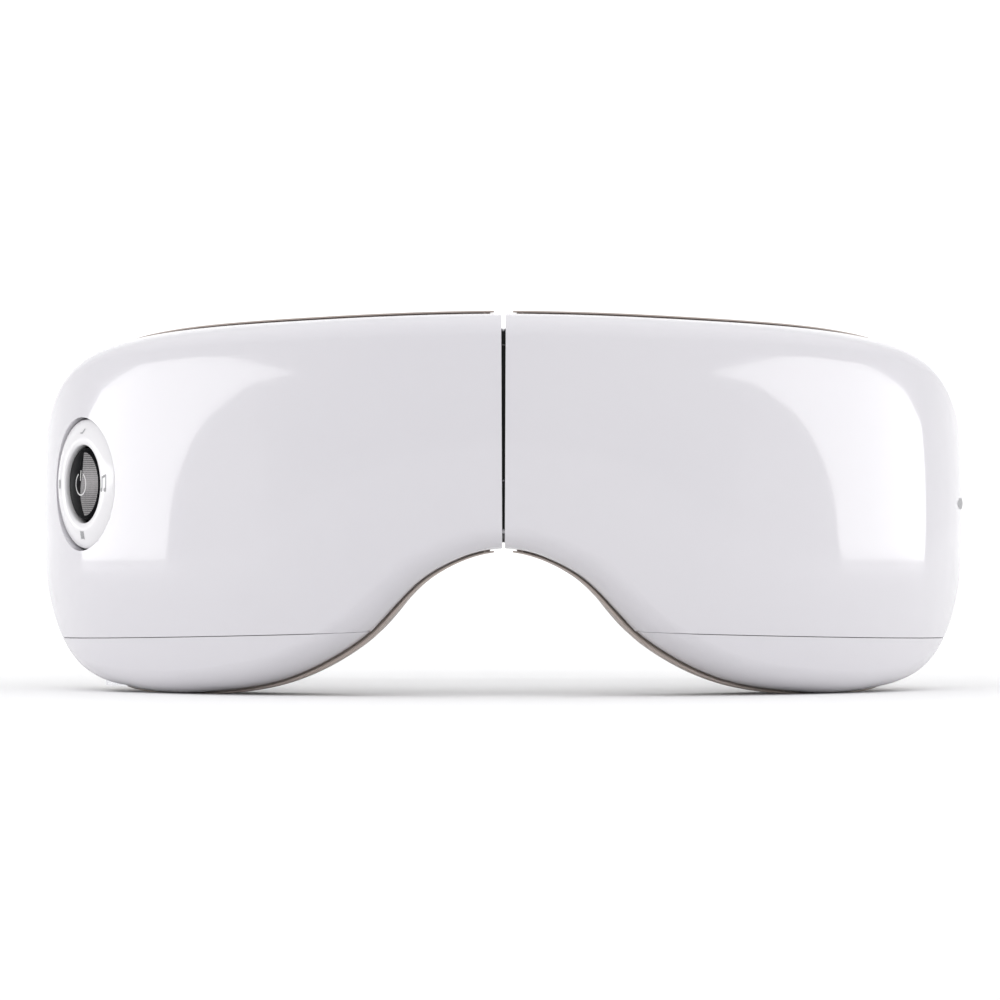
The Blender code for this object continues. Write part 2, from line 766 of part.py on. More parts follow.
def make_right_works():
    at = local(RIGHT, 84.0, 38.0, 8.6)
    block("battery", at, (36.0, 30.0, 6.0), look=CELL, soften=1.2)

    pump_at = turned(local(RIGHT, 52.0, 63.0, 8.3), "Y", 90.0)
    body = [(3.0, -15.0), (4.6, -14.6), (4.6, 6.0), (3.6, 6.4), (3.6, 12.0), (1.2, 12.0), (1.2, 15.0)]
    lathe("air_pump", pump_at, body, STEEL, steps=16)

    valve_at = local(RIGHT, 26.0, 56.0, 8.4)
    valve = block("solenoid_valve", valve_at, (8.0, 12.0, 6.6), look=STEEL, soften=0.5)
    port = turned(valve_at, "X", 90.0)
    join(valve, lathe("barb", port, [(1.1, 5.0), (1.1, 9.0)], steps=12))


def make_shaker(side, word):
    """A small motor with an off-centre weight on its shaft, lying along the lobe."""
    at = turned(local(side, 66.0, 18.0, 8.4), "Y", 90.0)
    motor = lathe("shaker_motor_" + word, at, [(3.1, -11.0), (3.1, 0.0)], STEEL, steps=16)
    join(motor, lathe("shaft", at, [(0.5, -1.0), (0.5, 5.6)], steps=12))
    profile = [(1.3, 1.0), (1.3, 5.0), (0.62, 5.0), (0.62, 1.0)]
    weight = lathe("shaker_weight_" + word, at, profile, STEEL, steps=16, closed=True)
    half = lathe("half", at, [(2.9, 1.0), (2.9, 5.0)], steps=16)
    cut(half, block("away", at, (6.0, 8.0, 6.0), (-2.4, 0.0, 3.0)))
    cut(half, lathe("core", at, [(0.62, 0.0), (0.62, 6.0)], steps=16))
    join(weight, half)


def make_speaker(side, word):
    at = local(side, 134.0, 42.0, 7.0)
    profile = [(6.2, -3.4), (6.2, -1.4), (7.3, -1.0), (7.3, 0.6), (6.0, 0.6), (2.8, -0.4)]
    lathe("speaker_" + word, at, profile, CONE, steps=24)


def tube(name, points, radius, look, steps=10):
    """A round tube along a path of points in metres."""
    loops = []
    for i, point in enumerate(points):
        before = points[max(i - 1, 0)]
        after = points[min(i + 1, len(points) - 1)]
        along = (after - before).normalized()
        side = along.cross(Vector((0.0, 0.0, 1.0)))
        if side.length < 0.3:
            side = along.cross(Vector((1.0, 0.0, 0.0)))
        side.normalize()
        up = side.cross(along)
        loop = []
        for k in range(steps):
            turn = 2 * math.pi * k / steps
            loop.append(point + (side * math.cos(turn) + up * math.sin(turn)) * radius * MM)
        loops.append(loop)
    return loft(name, loops, look)


def bezier(a, b, c, d, count):
    made = []
    for k in range(count + 1):
        u = k / count
        v = 1.0 - u
        made.append(a * v**3 + b * 3 * v * v * u + c * 3 * v * u * u + d * u**3)
    return made


def make_harness():
    """The air hose and the wires that cross behind the hinge in one soft sleeve."""
    points = []
    for k in range(15):
        x = -18.0 + 36.0 * k / 14
        near = min(abs(x) / 6.0, 1.0)
        depth = 13.0 - 0.95 * near * near * (3.0 - 2.0 * near)
        depth += 0.4 * max(0.0, (abs(x) - 8.0) / 10.0)
        points.append(Vector((x, FRONT_Y + depth, 54.0)) * MM)
    tube("bridge_harness", points, 1.1, RUBBER)


def make_hoses():
    ends = {LEFT: (21.5, 54.0), RIGHT: (26.0, 45.5)}
    for side, word in ((LEFT, "left"), (RIGHT, "right")):
        s, z = ends[side]
        start = place(side, s, z, 11.9)
        near = place(side, s + 9.0, z - (0.0 if side == LEFT else 4.0), 11.6)
        far = place(side, EYE_S - 9.0, EYE_Z, 9.6)
        end = place(side, EYE_S - 0.5, EYE_Z, 9.5)
        tube("air_hose_" + word, bezier(start, near, far, end, 8), 1.2, RUBBER, steps=8)


# ---------------------------------------------------------------- strap


def lug_bar(side, name, first, last, half_width, front, back, look=None):
    """A plate that follows the wrap, level with the strap."""
    loops = []
    for k in range(7):
        s = first + (last - first) * k / 6
        edge = 1.5 if k in (0, 6) else 0.0
        corners = (
            (-half_width + edge, front),
            (half_width - edge, front),
            (half_width - edge, back),
            (-half_width + edge, back),
        )
        loops.append([place(side, s, STRAP_Z + z, h) for z, h in corners])
    return loft(name, loops, look)


def make_lug(side, word):
    """A flat loop for the strap, riveted inside the frame and led out through the notch at its tip."""
    lug = lug_bar(side, "strap_lug_" + word, 139.6, LUG_END_S, 13.0, LUG_H, LUG_H + 2.0, GREY)
    window = local(side, LUG_END_S - 5.4, STRAP_Z, LUG_H + 1.0)
    cut(lug, block("window", window, (4.8, STRAP_W + 1.2, 8.0)))
    return lug


def strap_path():
    """Plan points of the strap's centre line, from the left tail round the head to the right tail."""
    gap = 1.0 + 0.45 + STRAP_T / 2
    lug_middle = LUG_H + 1.0

    def at(s, away):
        x, depth = plan(s / DEVELOPED, lug_middle - away)
        return Vector((x, depth))

    bar = LUG_END_S - 1.5
    tail = [at(bar + 9.5, -1.35 - gap * 0.25), at(bar + 3.5, -gap), at(bar, -gap)]
    wrap = []
    centre = LUG_END_S - 3.55
    for k in range(7):
        turn = math.pi * k / 6
        wrap.append(at(centre - 1.75 * math.sin(turn), -gap * math.cos(turn)))
    start = at(bar + 2.0, gap)
    heading = (at(bar + 3.0, gap) - at(bar - 1.0, gap)).normalized()
    straight = [start + heading * STRAP_STRAIGHT * k / 3 for k in range(4)]
    corner = straight[-1]
    back = Vector((0.0, STRAP_BACK - STRAP_T / 2))
    pull = corner + heading * 26.0
    round_head = []
    for k in range(1, 13):
        u = k / 12
        v = 1.0 - u
        side_pull = Vector((42.0, back.y))
        spot = corner * v**3 + pull * 3 * v * v * u + side_pull * 3 * v * u * u + back * u**3
        round_head.append(spot)
    return [*tail, *wrap, *straight, *round_head]


def make_strap():
    half = strap_path()
    left = [Vector((-p.x, p.y)) for p in half]
    path = left + half[-2::-1]
    loops = []
    for i, point in enumerate(path):
        before = path[max(i - 1, 0)]
        after = path[min(i + 1, len(path) - 1)]
        along = (after - before).normalized()
        across = Vector((along.y, -along.x)) * STRAP_T / 2
        loop = []
        for sign, z in ((-1, -1), (1, -1), (1, 1), (-1, 1)):
            x = point.x + across.x * sign
            depth = point.y + across.y * sign
            loop.append(Vector((x, FRONT_Y + depth, STRAP_Z + z * STRAP_W / 2)) * MM)
        loops.append(loop)
    loft("head_strap", loops, WEB)
    return half


def make_slider(half):
    """The length adjuster on the strap's left straight run."""
    start = half[10]
    end = half[13]
    middle = start.lerp(end, 0.57)
    heading = (end - start).normalized()
    along = Vector((-heading.x, heading.y, 0.0))
    up = Vector((0.0, 0.0, 1.0))
    across = up.cross(along)
    at = Matrix((along, across, up)).transposed().to_4x4()
    at.translation = Vector((-middle.x, FRONT_Y + middle.y, STRAP_Z)) * MM
    slider = block("strap_slider", at, (7.0, 5.4, STRAP_W + 5.0), look=BLACK, soften=0.6)
    cut(slider, block("slot", at, (12.0, STRAP_T + 0.7, STRAP_W + 0.7)))


# ---------------------------------------------------------------- assembly


def main():
    clear_scene()
    made = {}
    for side, word in ((LEFT, "left"), (RIGHT, "right")):
        shell, cover = make_shells(side, word)
        frame = make_frame(side, word)
        make_body_screws(side, word, shell, cover, frame)
        make_trim(side, word)
        make_face_pad(side, word)
        make_lining(side, word)
        make_eye_group(side, word)
        make_shaker(side, word)
        make_speaker(side, word)
        make_lug(side, word)
        made[word] = (shell, cover, frame)
    leaves = make_hinge()
    make_hinge_screws(LEFT, "left", leaves[0], made["left"][2])
    make_hinge_screws(RIGHT, "right", leaves[1], made["right"][2])
    make_panel(made["left"][0])
    make_left_works(made["left"][1])
    make_right_works()
    make_harness()
    make_hoses()
    make_slider_and_strap()


def make_slider_and_strap():
    half = make_strap()
    make_slider(half)


main()
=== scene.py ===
"""Looks for the folding eye massager mask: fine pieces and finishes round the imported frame.

The mask is drawn in the same developed coordinates as its frame: s runs along the wrapped front from the
middle to the temple, z is up, and h is the depth behind the front surface, all in millimetres.
"""

import math

import bmesh
import bpy
import numpy as np
from mathutils import Matrix, Vector


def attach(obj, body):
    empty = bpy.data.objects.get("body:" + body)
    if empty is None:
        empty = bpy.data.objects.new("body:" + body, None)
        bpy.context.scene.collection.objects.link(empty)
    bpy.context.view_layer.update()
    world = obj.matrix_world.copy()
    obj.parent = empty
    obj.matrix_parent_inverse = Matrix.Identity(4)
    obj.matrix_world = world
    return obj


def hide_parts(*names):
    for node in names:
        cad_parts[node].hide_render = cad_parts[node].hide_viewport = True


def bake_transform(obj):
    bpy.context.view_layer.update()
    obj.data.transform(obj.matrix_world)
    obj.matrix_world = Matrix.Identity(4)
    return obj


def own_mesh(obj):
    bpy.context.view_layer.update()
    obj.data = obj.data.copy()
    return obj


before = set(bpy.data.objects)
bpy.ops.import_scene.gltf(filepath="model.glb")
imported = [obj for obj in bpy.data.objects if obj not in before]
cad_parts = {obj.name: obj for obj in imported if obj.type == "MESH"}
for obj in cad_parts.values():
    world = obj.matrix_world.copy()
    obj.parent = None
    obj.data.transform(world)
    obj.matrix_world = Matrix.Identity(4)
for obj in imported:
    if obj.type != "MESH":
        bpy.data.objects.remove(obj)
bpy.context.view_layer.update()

MM = 0.001
LEFT, RIGHT = -1, 1
SIDES = ((LEFT, "left"), (RIGHT, "right"))

PLAN_A, PLAN_B, DEVELOPED, FRONT_Y = 102.0, 94.0, 98.0, -85.0
OUTLINE = [
    (0.0, 79.5), (48.0, 78.2), (88.0, 76.0), (112.0, 72.6), (129.0, 65.6), (143.0, 54.5),
    (150.0, 41.5), (144.0, 26.5), (129.0, 12.5), (112.0, 3.2), (92.0, 0.4), (72.0, 0.4),
    (50.0, 3.5), (32.0, 11.8), (16.0, 25.6), (0.0, 30.6),
]
SHELL_WALL, FILLET_IN, FILLET_DEPTH = 2.0, 5.0, 8.7
CROWN, CROWN_REACH, MEDIAL_END = 1.4, 30.0, 121.0
RIM_H = FILLET_DEPTH + CROWN
GAP_TOP, GAP_BOTTOM = 0.45, 0.25
PARTING_INNER, PARTING_OUTER, PARTING_GAP = 13.2, 11.2, 0.12
TRIM_FRONT, TRIM_BACK, TRIM_WIDTH = RIM_H + 0.35, 13.1, 3.2
PLATE_FRONT, PLATE_BACK, FLANGE_BACK = 13.5, 15.4, 18.6
PAD_BASE, PAD_TOP, BAR_SHARE = 16.0, 28.2, 0.5
AXIS_DEPTH, FOLD_DEG, BARREL_R = 8.2, 70.0, 3.3
PANEL_S, PANEL_Z = 106.4, 44.2
RING_R, RING_INNER_R, BUTTON_R, HOLE_R = 13.8, 8.3, 7.7, 14.25
EYE_S, EYE_Z, EYE_A, EYE_B = 50.0, 44.5, 21.0, 18.0
DOME_TOP, DOME_FALL = -0.05, 0.0172
RING_TOP = [
    (8.75, -0.4), (9.4, -0.33), (10.2, -0.36), (11.0, -0.48), (11.8, -0.66), (12.5, -0.88),
    (13.1, -1.1), (13.5, -1.27),
]
STRAP_Z, STRAP_W, STRAP_T = 42.0, 22.0, 1.6
LUG_START_S, LUG_END_S, LUG_H, LUG_T = 139.6, 166.0, 16.1, 2.0
STRAP_STRAIGHT, STRAP_BACK = 44.0, 170.0
BRIDGE_Z = 54.0
SHELL_SCREWS, COVER_SCREW = ((23.0, 69.6), (88.0, 66.5)), (84.0, 7.2)
PAD_EASING, PAD_COLUMNS, PAD_BAR = 26, 420, 26
LENS_MM, CAMERA_PLACE = 244.7, (-0.00072, -1.485, 0.0408)
SOFTBOX_REACH, SOFTBOX_STRENGTH, SWEEP_CURVE, SWEEP_TOP = 1.15, 3.6, 0.6, 3.0


# Shape of the mask


def plan(t, h):
    """Where the wrapped front at angle t lies at depth h: across, and back from the front."""
    normal = Vector((PLAN_B * math.sin(t), -PLAN_A * math.cos(t))).normalized()
    x = PLAN_A * math.sin(t) - h * normal.x
    depth = PLAN_B * (1.0 - math.cos(t)) - h * normal.y
    return x, depth


def place(side, s, z, h):
    """A point of the wrapped mask in metres."""
    x, depth = plan(s / DEVELOPED, h)
    return Vector((side * x, FRONT_Y + depth, z)) * MM


def laid(side, loop, h):
    """Points of a flat loop placed on the mask at depth h."""
    return [place(side, p.x, p.y, h) for p in loop]


def local(side, s, z, h=0.0):
    """Axes at a point of the front: X along it to the viewer's right, Y up, Z straight out."""
    t = s / DEVELOPED
    out = Vector((side * PLAN_B * math.sin(t), -PLAN_A * math.cos(t), 0.0)).normalized()
    up = Vector((0.0, 0.0, 1.0))
    made = Matrix((up.cross(out), up, out)).transposed().to_4x4()
    made.translation = place(side, s, z, h)
    return made


def smooth_curve(points, per_span, level_ends=True):
    """Catmull-Rom curve through the points; level ends run straight across the middle plane."""
    vectors = [Vector(p) for p in points]
    if level_ends:
        first = Vector((-points[1][0], points[1][1]))
        last = Vector((-points[-2][0], points[-2][1]))
    else:
        first = vectors[0] * 2 - vectors[1]
        last = vectors[-1] * 2 - vectors[-2]
    held = [first, *vectors, last]
    made = []
    for i in range(1, len(held) - 2):
        p0, p1, p2, p3 = (held[i + k] for k in (-1, 0, 1, 2))
        span = (p2 - p1).length
        m1 = (p2 - p0) * span / ((p2 - p1).length + (p1 - p0).length)
        m2 = (p3 - p1) * span / ((p3 - p2).length + (p2 - p1).length)
        for k in range(per_span):
            u = k / per_span
            a = 2 * u**3 - 3 * u**2 + 1
            b = u**3 - 2 * u**2 + u
            c = -2 * u**3 + 3 * u**2
            d = u**3 - u**2
            made.append(p1 * a + m1 * b + p2 * c + m2 * d)
    made.append(vectors[-1])
    return made


DENSE = smooth_curve(OUTLINE, 40)
TIP = max(range(len(DENSE)), key=lambda i: DENSE[i].x)
RUN = np.array([tuple(p) for p in DENSE])


def nearest(points, run):
    """Distance from each point to the line through the run."""
    start, step = run[:-1], np.diff(run, axis=0)
    away = points[:, None, :] - start[None]
    share = np.clip((away * step[None]).sum(2) / (step**2).sum(1)[None], 0.0, 1.0)
    gaps = (away - step[None] * share[..., None]) ** 2
    return np.sqrt(gaps.sum(2)).min(1)


def insets(points):
    """Distance in from the outline, and a soft one without a crease along the face's middle."""
    grid = np.array([tuple(p) for p in points], float)
    top = nearest(grid, RUN[: TIP + 1])
    low = nearest(grid, RUN[TIP:])
    soft = (np.maximum(top, 1e-4) ** -4 + np.maximum(low, 1e-4) ** -4) ** -0.25
    return np.minimum(top, low), soft


def depths(points):
    """Depth of the shell's outer surface: an edge fillet on a slight crown."""
    exact, soft = insets(points)
    rest = 1.0 - np.minimum(exact, FILLET_IN) / FILLET_IN
    fillet = FILLET_DEPTH * (1.0 - np.sqrt(np.maximum(0.0, 1.0 - rest * rest)))
    return fillet + CROWN * (1.0 - np.minimum(soft / CROWN_REACH, 1.0)) ** 2


def crossing(s, on_top):
    """Height of the outline's upper or lower run at s."""
    run = DENSE[: TIP + 1] if on_top else DENSE[TIP:][::-1]
    for a, b in zip(run, run[1:]):
        if a.x <= s <= b.x:
            return a.y + (b.y - a.y) * (s - a.x) / max(b.x - a.x, 1e-9)
    return run[0].y


def heading_at(points, i):
    """Direction of an open line at its i-th point."""
    return (points[min(i + 1, len(points) - 1)] - points[max(i - 1, 0)]).normalized()


def resample(points, count):
    """The same line through count evenly spaced points."""
    runs = [0.0]
    for a, b in zip(points, points[1:]):
        runs.append(runs[-1] + (b - a).length)
    made = []
    at = 0
    for k in range(count):
        goal = runs[-1] * k / (count - 1)
        while at < len(runs) - 2 and runs[at + 1] < goal:
            at += 1
        share = (goal - runs[at]) / max(runs[at + 1] - runs[at], 1e-9)
        made.append(points[at].lerp(points[at + 1], share))
    return made


def fold_slope():
    """How fast each half falls back from the fold's middle plane."""
    return math.tan(math.radians(FOLD_DEG / 2 + 0.6))


def fold_clear_s(h):
    """The smallest s at depth h that the other half never sweeps while it folds."""
    low, high = 0.0, 60.0
    for _ in range(40):
        middle = (low + high) / 2
        x, depth = plan(middle / DEVELOPED, h)
        if x > max((depth - AXIS_DEPTH) * fold_slope() + 0.35, BARREL_R + 0.5):
            high = middle
        else:
            low = middle
    return high


def proud(s):
    """How far the trim band stands out past the shell's lower edge."""
    return 0.6 + 0.45 * math.exp(-(((s - 34.0) / 16.0) ** 2))


def half_loop(inset, h, count=220, bar=14, stands_out=0.0):
    """The outline of one half moved in by inset, closed by a bar beside the fold hinge."""
    moved = []
    for i, point in enumerate(DENSE):
        along = heading_at(DENSE, i)
        if i in (0, len(DENSE) - 1):
            along = Vector((math.copysign(1.0, along.x), 0.0))
        low = point.y < 40.0 and point.x < 90.0
        extra = stands_out * (proud(point.x) if low else 0.6)
        spot = point + Vector((along.y, -along.x)) * (inset - extra)
        moved.append(Vector((spot.x, max(spot.y, 0.0))))
    edge = fold_clear_s(h) + BAR_SHARE * max(inset, 0.0)
    if stands_out:  # keeps the two walls of the trim's slot apart where they run beside the hinge
        edge += 0.4 * (1.0 - stands_out)
    kept = []
    for a, b in zip(moved, moved[1:]):
        if (a.x - edge) * (b.x - edge) < 0:
            kept.append(a.lerp(b, (edge - a.x) / (b.x - a.x)))
        if b.x > edge:
            kept.append(b)
    loop = resample(kept, count)
    top, bottom = loop[0], loop[-1]
    for k in range(1, bar + 1):
        loop.append(bottom.lerp(top, k / (bar + 1)))
    return loop


def facing_loop(loop, a, b):
    """Points of the eye ellipse that face the points of a loop round it."""
    made = []
    for point in loop:
        turn = math.atan2((point.y - EYE_Z) / b, (point.x - EYE_S) / a)
        made.append(Vector((EYE_S + a * math.cos(turn), EYE_Z + b * math.sin(turn))))
    return made


# Meshes


def surface_of(rows, close_rows=False, close_columns=False, size=(1.0, 1.0)):
    """A grid placed on equal rows of points. size gives its UV map a real width and height."""
    if close_columns:
        rows = [[*row, row[0]] for row in rows]
    if close_rows:
        rows = [*rows, rows[0]]
    across, along = len(rows[0]) - 1, len(rows) - 1
    bm = bmesh.new()
    chart = bm.loops.layers.uv.new("UVMap")
    bmesh.ops.create_grid(bm, x_segments=across, y_segments=along, size=1.0, calc_uvs=True)
    width, height = size
    for face in bm.faces:
        for corner in face.loops:
            u = (corner.vert.co.x + 1.0) / 2
            v = (corner.vert.co.y + 1.0) / 2
            corner[chart].uv = (u * width, v * height)
    for vert in bm.verts:
        i = round((vert.co.y + 1.0) / 2 * along)
        j = round((vert.co.x + 1.0) / 2 * across)
        vert.co = rows[i][j]
    if close_columns or close_rows:
        bmesh.ops.remove_doubles(bm, verts=bm.verts, dist=1e-7)
    return bm


def cap_ends(bm):
    """Closes each open end of a lofted piece with one face."""
    bmesh.ops.holes_fill(bm, edges=[edge for edge in bm.edges if edge.is_boundary], sides=0)


def turned_profile(matrix, profile, steps=64, closed=False):
    """Spins (radius, out) pairs a full turn round the matrix's Z axis."""
    bm = bmesh.new()
    verts = [bm.verts.new((radius * MM, 0.0, out * MM)) for radius, out in profile]
    pairs = list(zip(verts, verts[1:]))
    if closed:
        pairs.append((verts[-1], verts[0]))
    edges = [bm.edges.new(pair) for pair in pairs]
    bmesh.ops.spin(
        bm, geom=verts + edges, cent=(0, 0, 0), axis=(0, 0, 1), angle=2 * math.pi,
        steps=steps, use_merge=True, use_duplicate=False,
    )
    bmesh.ops.remove_doubles(bm, verts=bm.verts, dist=1e-6)
    bmesh.ops.transform(bm, matrix=matrix, verts=bm.verts)
    return bm


def flat_chart(bm, matrix):
    """Lays the UV map flat on the matrix's X and Y, in metres."""
    chart = bm.loops.layers.uv.verify()
    unit = matrix.inverted()
    for face in bm.faces:
        for loop in face.loops:
            spot = unit @ loop.vert.co
            loop[chart].uv = (spot.x, spot.y)


def box_shape(matrix, size, centre=(0.0, 0.0, 0.0), soften=0.0, segments=3):
    bm = bmesh.new()
    bmesh.ops.create_cube(bm, size=1.0)
    bmesh.ops.scale(bm, vec=Vector(size) * MM, verts=bm.verts)
    bmesh.ops.translate(bm, vec=Vector(centre) * MM, verts=bm.verts)
    if soften:
        bmesh.ops.bevel(
            bm, geom=bm.edges[:], offset=soften * MM, segments=segments, profile=0.5,
            affect="EDGES", material=-1,
        )
    bmesh.ops.transform(bm, matrix=matrix, verts=bm.verts)
    return bm


def joined(parts):
    """Several shapes as one bmesh."""
    whole = bmesh.new()
    for part in parts:
        mesh = bpy.data.meshes.new("part")
        part.to_mesh(mesh)
        part.free()
        whole.from_mesh(mesh)
        bpy.data.meshes.remove(mesh)
    return whole


def smooth(mesh, sharp=35.0):
    """Shades a mesh smoothly, up to a sharp angle in degrees."""
    for face in mesh.polygons:
        face.use_smooth = True
    mesh.set_sharp_from_angle(angle=math.radians(sharp))


def piece(name, bm, look, sharp=35.0, tidy=True):
    """Makes a bmesh an object with one finish."""
    if tidy:
        bmesh.ops.remove_doubles(bm, verts=bm.verts, dist=1e-7)
        bmesh.ops.recalc_face_normals(bm, faces=bm.faces)
    mesh = bpy.data.meshes.new(name)
    bm.to_mesh(mesh)
    bm.free()
    mesh.materials.append(look)
    smooth(mesh, sharp)
    obj = bpy.data.objects.new(name, mesh)
    bpy.context.scene.collection.objects.link(obj)
    return obj


def settle(obj):
    """Applies the piece's modifiers."""
    bpy.context.view_layer.update()
    evaluated = obj.evaluated_get(bpy.context.evaluated_depsgraph_get())
    mesh = bpy.data.meshes.new_from_object(evaluated)
    obj.modifiers.clear()
    obj.data = mesh
    smooth(mesh)


def carve(obj, bm, operation="DIFFERENCE"):
    """Cuts a closed shape out of a piece, or joins it on."""
    bmesh.ops.recalc_face_normals(bm, faces=bm.faces)
    mesh = bpy.data.meshes.new("cutter")
    bm.to_mesh(mesh)
    bm.free()
    cutter = bpy.data.objects.new("cutter", mesh)
    bpy.context.scene.collection.objects.link(cutter)
    modifier = obj.modifiers.new("shape", "BOOLEAN")
    modifier.operation = operation
    modifier.solver = "EXACT"
    modifier.object = cutter
    settle(obj)
    bpy.data.objects.remove(cutter, do_unlink=True)


def round_edges(obj, width, segments=2, degrees=50.0):
    bevel = obj.modifiers.new("edges", "BEVEL")
    bevel.width = width * MM
    bevel.segments = segments
    bevel.limit_method = "ANGLE"
    bevel.angle_limit = math.radians(degrees)
    settle(obj)


def shown(obj, body, slot, *nodes):
    """Puts a piece on its body and hides the nodes that it stands for; slot is not used."""
    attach(obj, body)
    if nodes:
        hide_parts(*nodes)
    return obj


# Finishes


class Wiring:
    """A node tree that ends in one shader, with the few nodes that the finishes share."""

    def __init__(self, tree, end):
        self.tree = tree
        self.end = tree.nodes[end]

    def new(self, kind):
        return self.tree.nodes.new("ShaderNode" + kind)

    def wired(self, node, sockets, output):
        """Sets or links a node's sockets and returns one of its outputs."""
        for name, value in sockets.items():
            socket = node.inputs[name]
            if isinstance(value, bpy.types.NodeSocket):
                self.tree.links.new(value, socket)
            else:
                socket.default_value = (*value, 1.0) if isinstance(value, tuple) else value
        return node.outputs[output]

    def feed(self, socket, value):
        """Sets or links a socket of the shader."""
        self.wired(self.end, {socket: value}, 0)

    def coordinates(self, from_chart=False):
        return self.new("TexCoord").outputs["UV" if from_chart else "Object"]

    def noise(self, at, scale, detail=3.0, roughness=0.5):
        sockets = {"Vector": at, "Scale": scale, "Detail": detail, "Roughness": roughness}
        return self.wired(self.new("TexNoise"), sockets, "Fac")

    def ribs(self, at, axis, pitch_mm):
        made = self.new("TexWave")
        made.wave_type = "BANDS"
        made.bands_direction = axis
        scale = 2 * math.pi / 20.0 / (pitch_mm * MM)
        return self.wired(made, {"Vector": at, "Scale": scale, "Distortion": 0.0}, "Fac")

    def spread(self, value, low, high, from_low=0.3, from_high=0.7):
        sockets = {"From Min": from_low, "From Max": from_high, "To Min": low, "To Max": high}
        return self.wired(self.new("MapRange"), {"Value": value, **sockets}, "Result")

    def blend(self, share, first, second):
        made = self.new("Mix")
        made.data_type = "RGBA"
        return self.wired(made, {"Factor": share, 6: first, 7: second}, 2)

    def math(self, operation, first, second):
        made = self.new("Math")
        made.operation = operation
        return self.wired(made, {0: first, 1: second}, 0)

    def relief(self, height, strength, distance, below=None):
        sockets = {"Height": height, "Strength": strength, "Distance": distance * MM}
        if below is not None:
            sockets["Normal"] = below
        normal = self.wired(self.new("Bump"), sockets, "Normal")
        self.feed("Normal", normal)
        return normal


def new_finish(name, roughness, metallic=0.0):
    made = bpy.data.materials.new(name)
    made.use_nodes = True
    look = Wiring(made.node_tree, "Principled BSDF")
    look.feed("Roughness", roughness)
    look.feed("Metallic", metallic)
    return made, look


def moulded(
    name, colour, second, rough, scale, grain, grain_mm, metallic=0.0, coat=0.0, mirror=0.5,
):
    """A moulded or rolled surface: two close colours, fine grain in its relief and its gloss."""
    made, look = new_finish(name, rough[0], metallic)
    at = look.coordinates()
    share = look.spread(look.noise(at, scale), 0.0, 1.0)
    look.feed("Base Color", look.blend(share, colour, second))
    fine = look.noise(at, grain, 4.0, 0.6)
    look.feed("Roughness", look.spread(fine, *rough))
    look.relief(fine, 0.5, grain_mm)
    look.feed("Specular IOR Level", mirror)
    if coat:
        look.feed("Coat Weight", coat)
        look.feed("Coat Roughness", 0.03)
    return made


def gloss_white_finish():
    made, look = new_finish("gloss_white_plastic", 0.06)
    at = look.coordinates()
    tone = look.spread(look.noise(at, 14.0, 2.0), 0.0, 1.0)
    colour = look.blend(tone, (0.672, 0.658, 0.692), (0.690, 0.676, 0.706))
    look.feed("Base Color", colour)
    wear = look.noise(at, 420.0, 5.0, 0.65)
    look.feed("Roughness", look.spread(wear, 0.05, 0.1))
    look.relief(look.noise(at, 160.0, 1.0), 0.12, 0.004)
    look.feed("Coat Weight", 0.35)
    look.feed("Coat Roughness", 0.02)
    return made


def leather_finish():
    """Soft embossed leatherette with fine creases, painted darker in the creases as shade."""
    made, look = new_finish("soft_leatherette", 0.6)
    at = look.coordinates()
    cells = look.new("TexVoronoi")
    cells.feature = "DISTANCE_TO_EDGE"
    gap = look.wired(cells, {"Vector": at, "Scale": 1350.0}, "Distance")
    edge = look.spread(gap, 0.0, 1.0, 0.0, 0.16)
    tone = look.spread(look.noise(at, 70.0), 0.0, 1.0)
    base = look.blend(tone, (0.215, 0.19, 0.182), (0.26, 0.232, 0.222))
    # Painted shade: the grain's creases get a darker colour than the leatherette between them.
    look.feed("Base Color", look.blend(edge, (0.178, 0.158, 0.15), base))
    look.feed("Roughness", look.spread(edge, 0.68, 0.48, 0.0, 1.0))
    coarse = look.relief(look.noise(at, 260.0), 0.3, 0.12)
    look.relief(edge, 0.6, 0.06, coarse)
    look.feed("Sheen Weight", 0.15)
    return made


def knit_finish(name, dark, light, from_chart, pitch=0.9):
    """A fine warp knit: rows of small loops."""
    made, look = new_finish(name, 0.85)
    at = look.coordinates(from_chart)
    up = look.ribs(at, "X", pitch)
    over = look.ribs(at, "Y" if from_chart else "Z", pitch * 0.7)
    loops = look.math("MULTIPLY", up, over)
    fuzz = look.noise(look.coordinates(), 2600.0, 2.0)
    thread = look.math("ADD", loops, look.math("MULTIPLY", fuzz, 0.35))
    tone = look.spread(thread, 0.0, 1.0, 0.1, 0.9)
    look.feed("Base Color", look.blend(tone, dark, light))
    look.relief(thread, 0.8, 0.12)
    look.feed("Sheen Weight", 0.3)
    look.feed("Sheen Roughness", 0.5)
    return made


def webbing_finish():
    """Elastic webbing: ribs along it, crossed by close picks."""
    made, look = new_finish("elastic_webbing", 0.85)
    at = look.coordinates(True)
    picks = look.ribs(at, "X", 0.85)
    cords = look.ribs(at, "Y", 1.375)
    weave = look.math("MULTIPLY", cords, look.math("ADD", picks, 0.45))
    fuzz = look.noise(look.coordinates(), 2200.0, 3.0)
    thread = look.math("ADD", weave, look.math("MULTIPLY", fuzz, 0.3))
    tone = look.spread(thread, 0.0, 1.0, 0.1, 1.3)
    colour = look.blend(tone, (0.035, 0.034, 0.036), (0.125, 0.12, 0.122))
    look.feed("Base Color", colour)
    look.relief(thread, 0.9, 0.16)
    look.feed("Sheen Weight", 0.2)
    return made


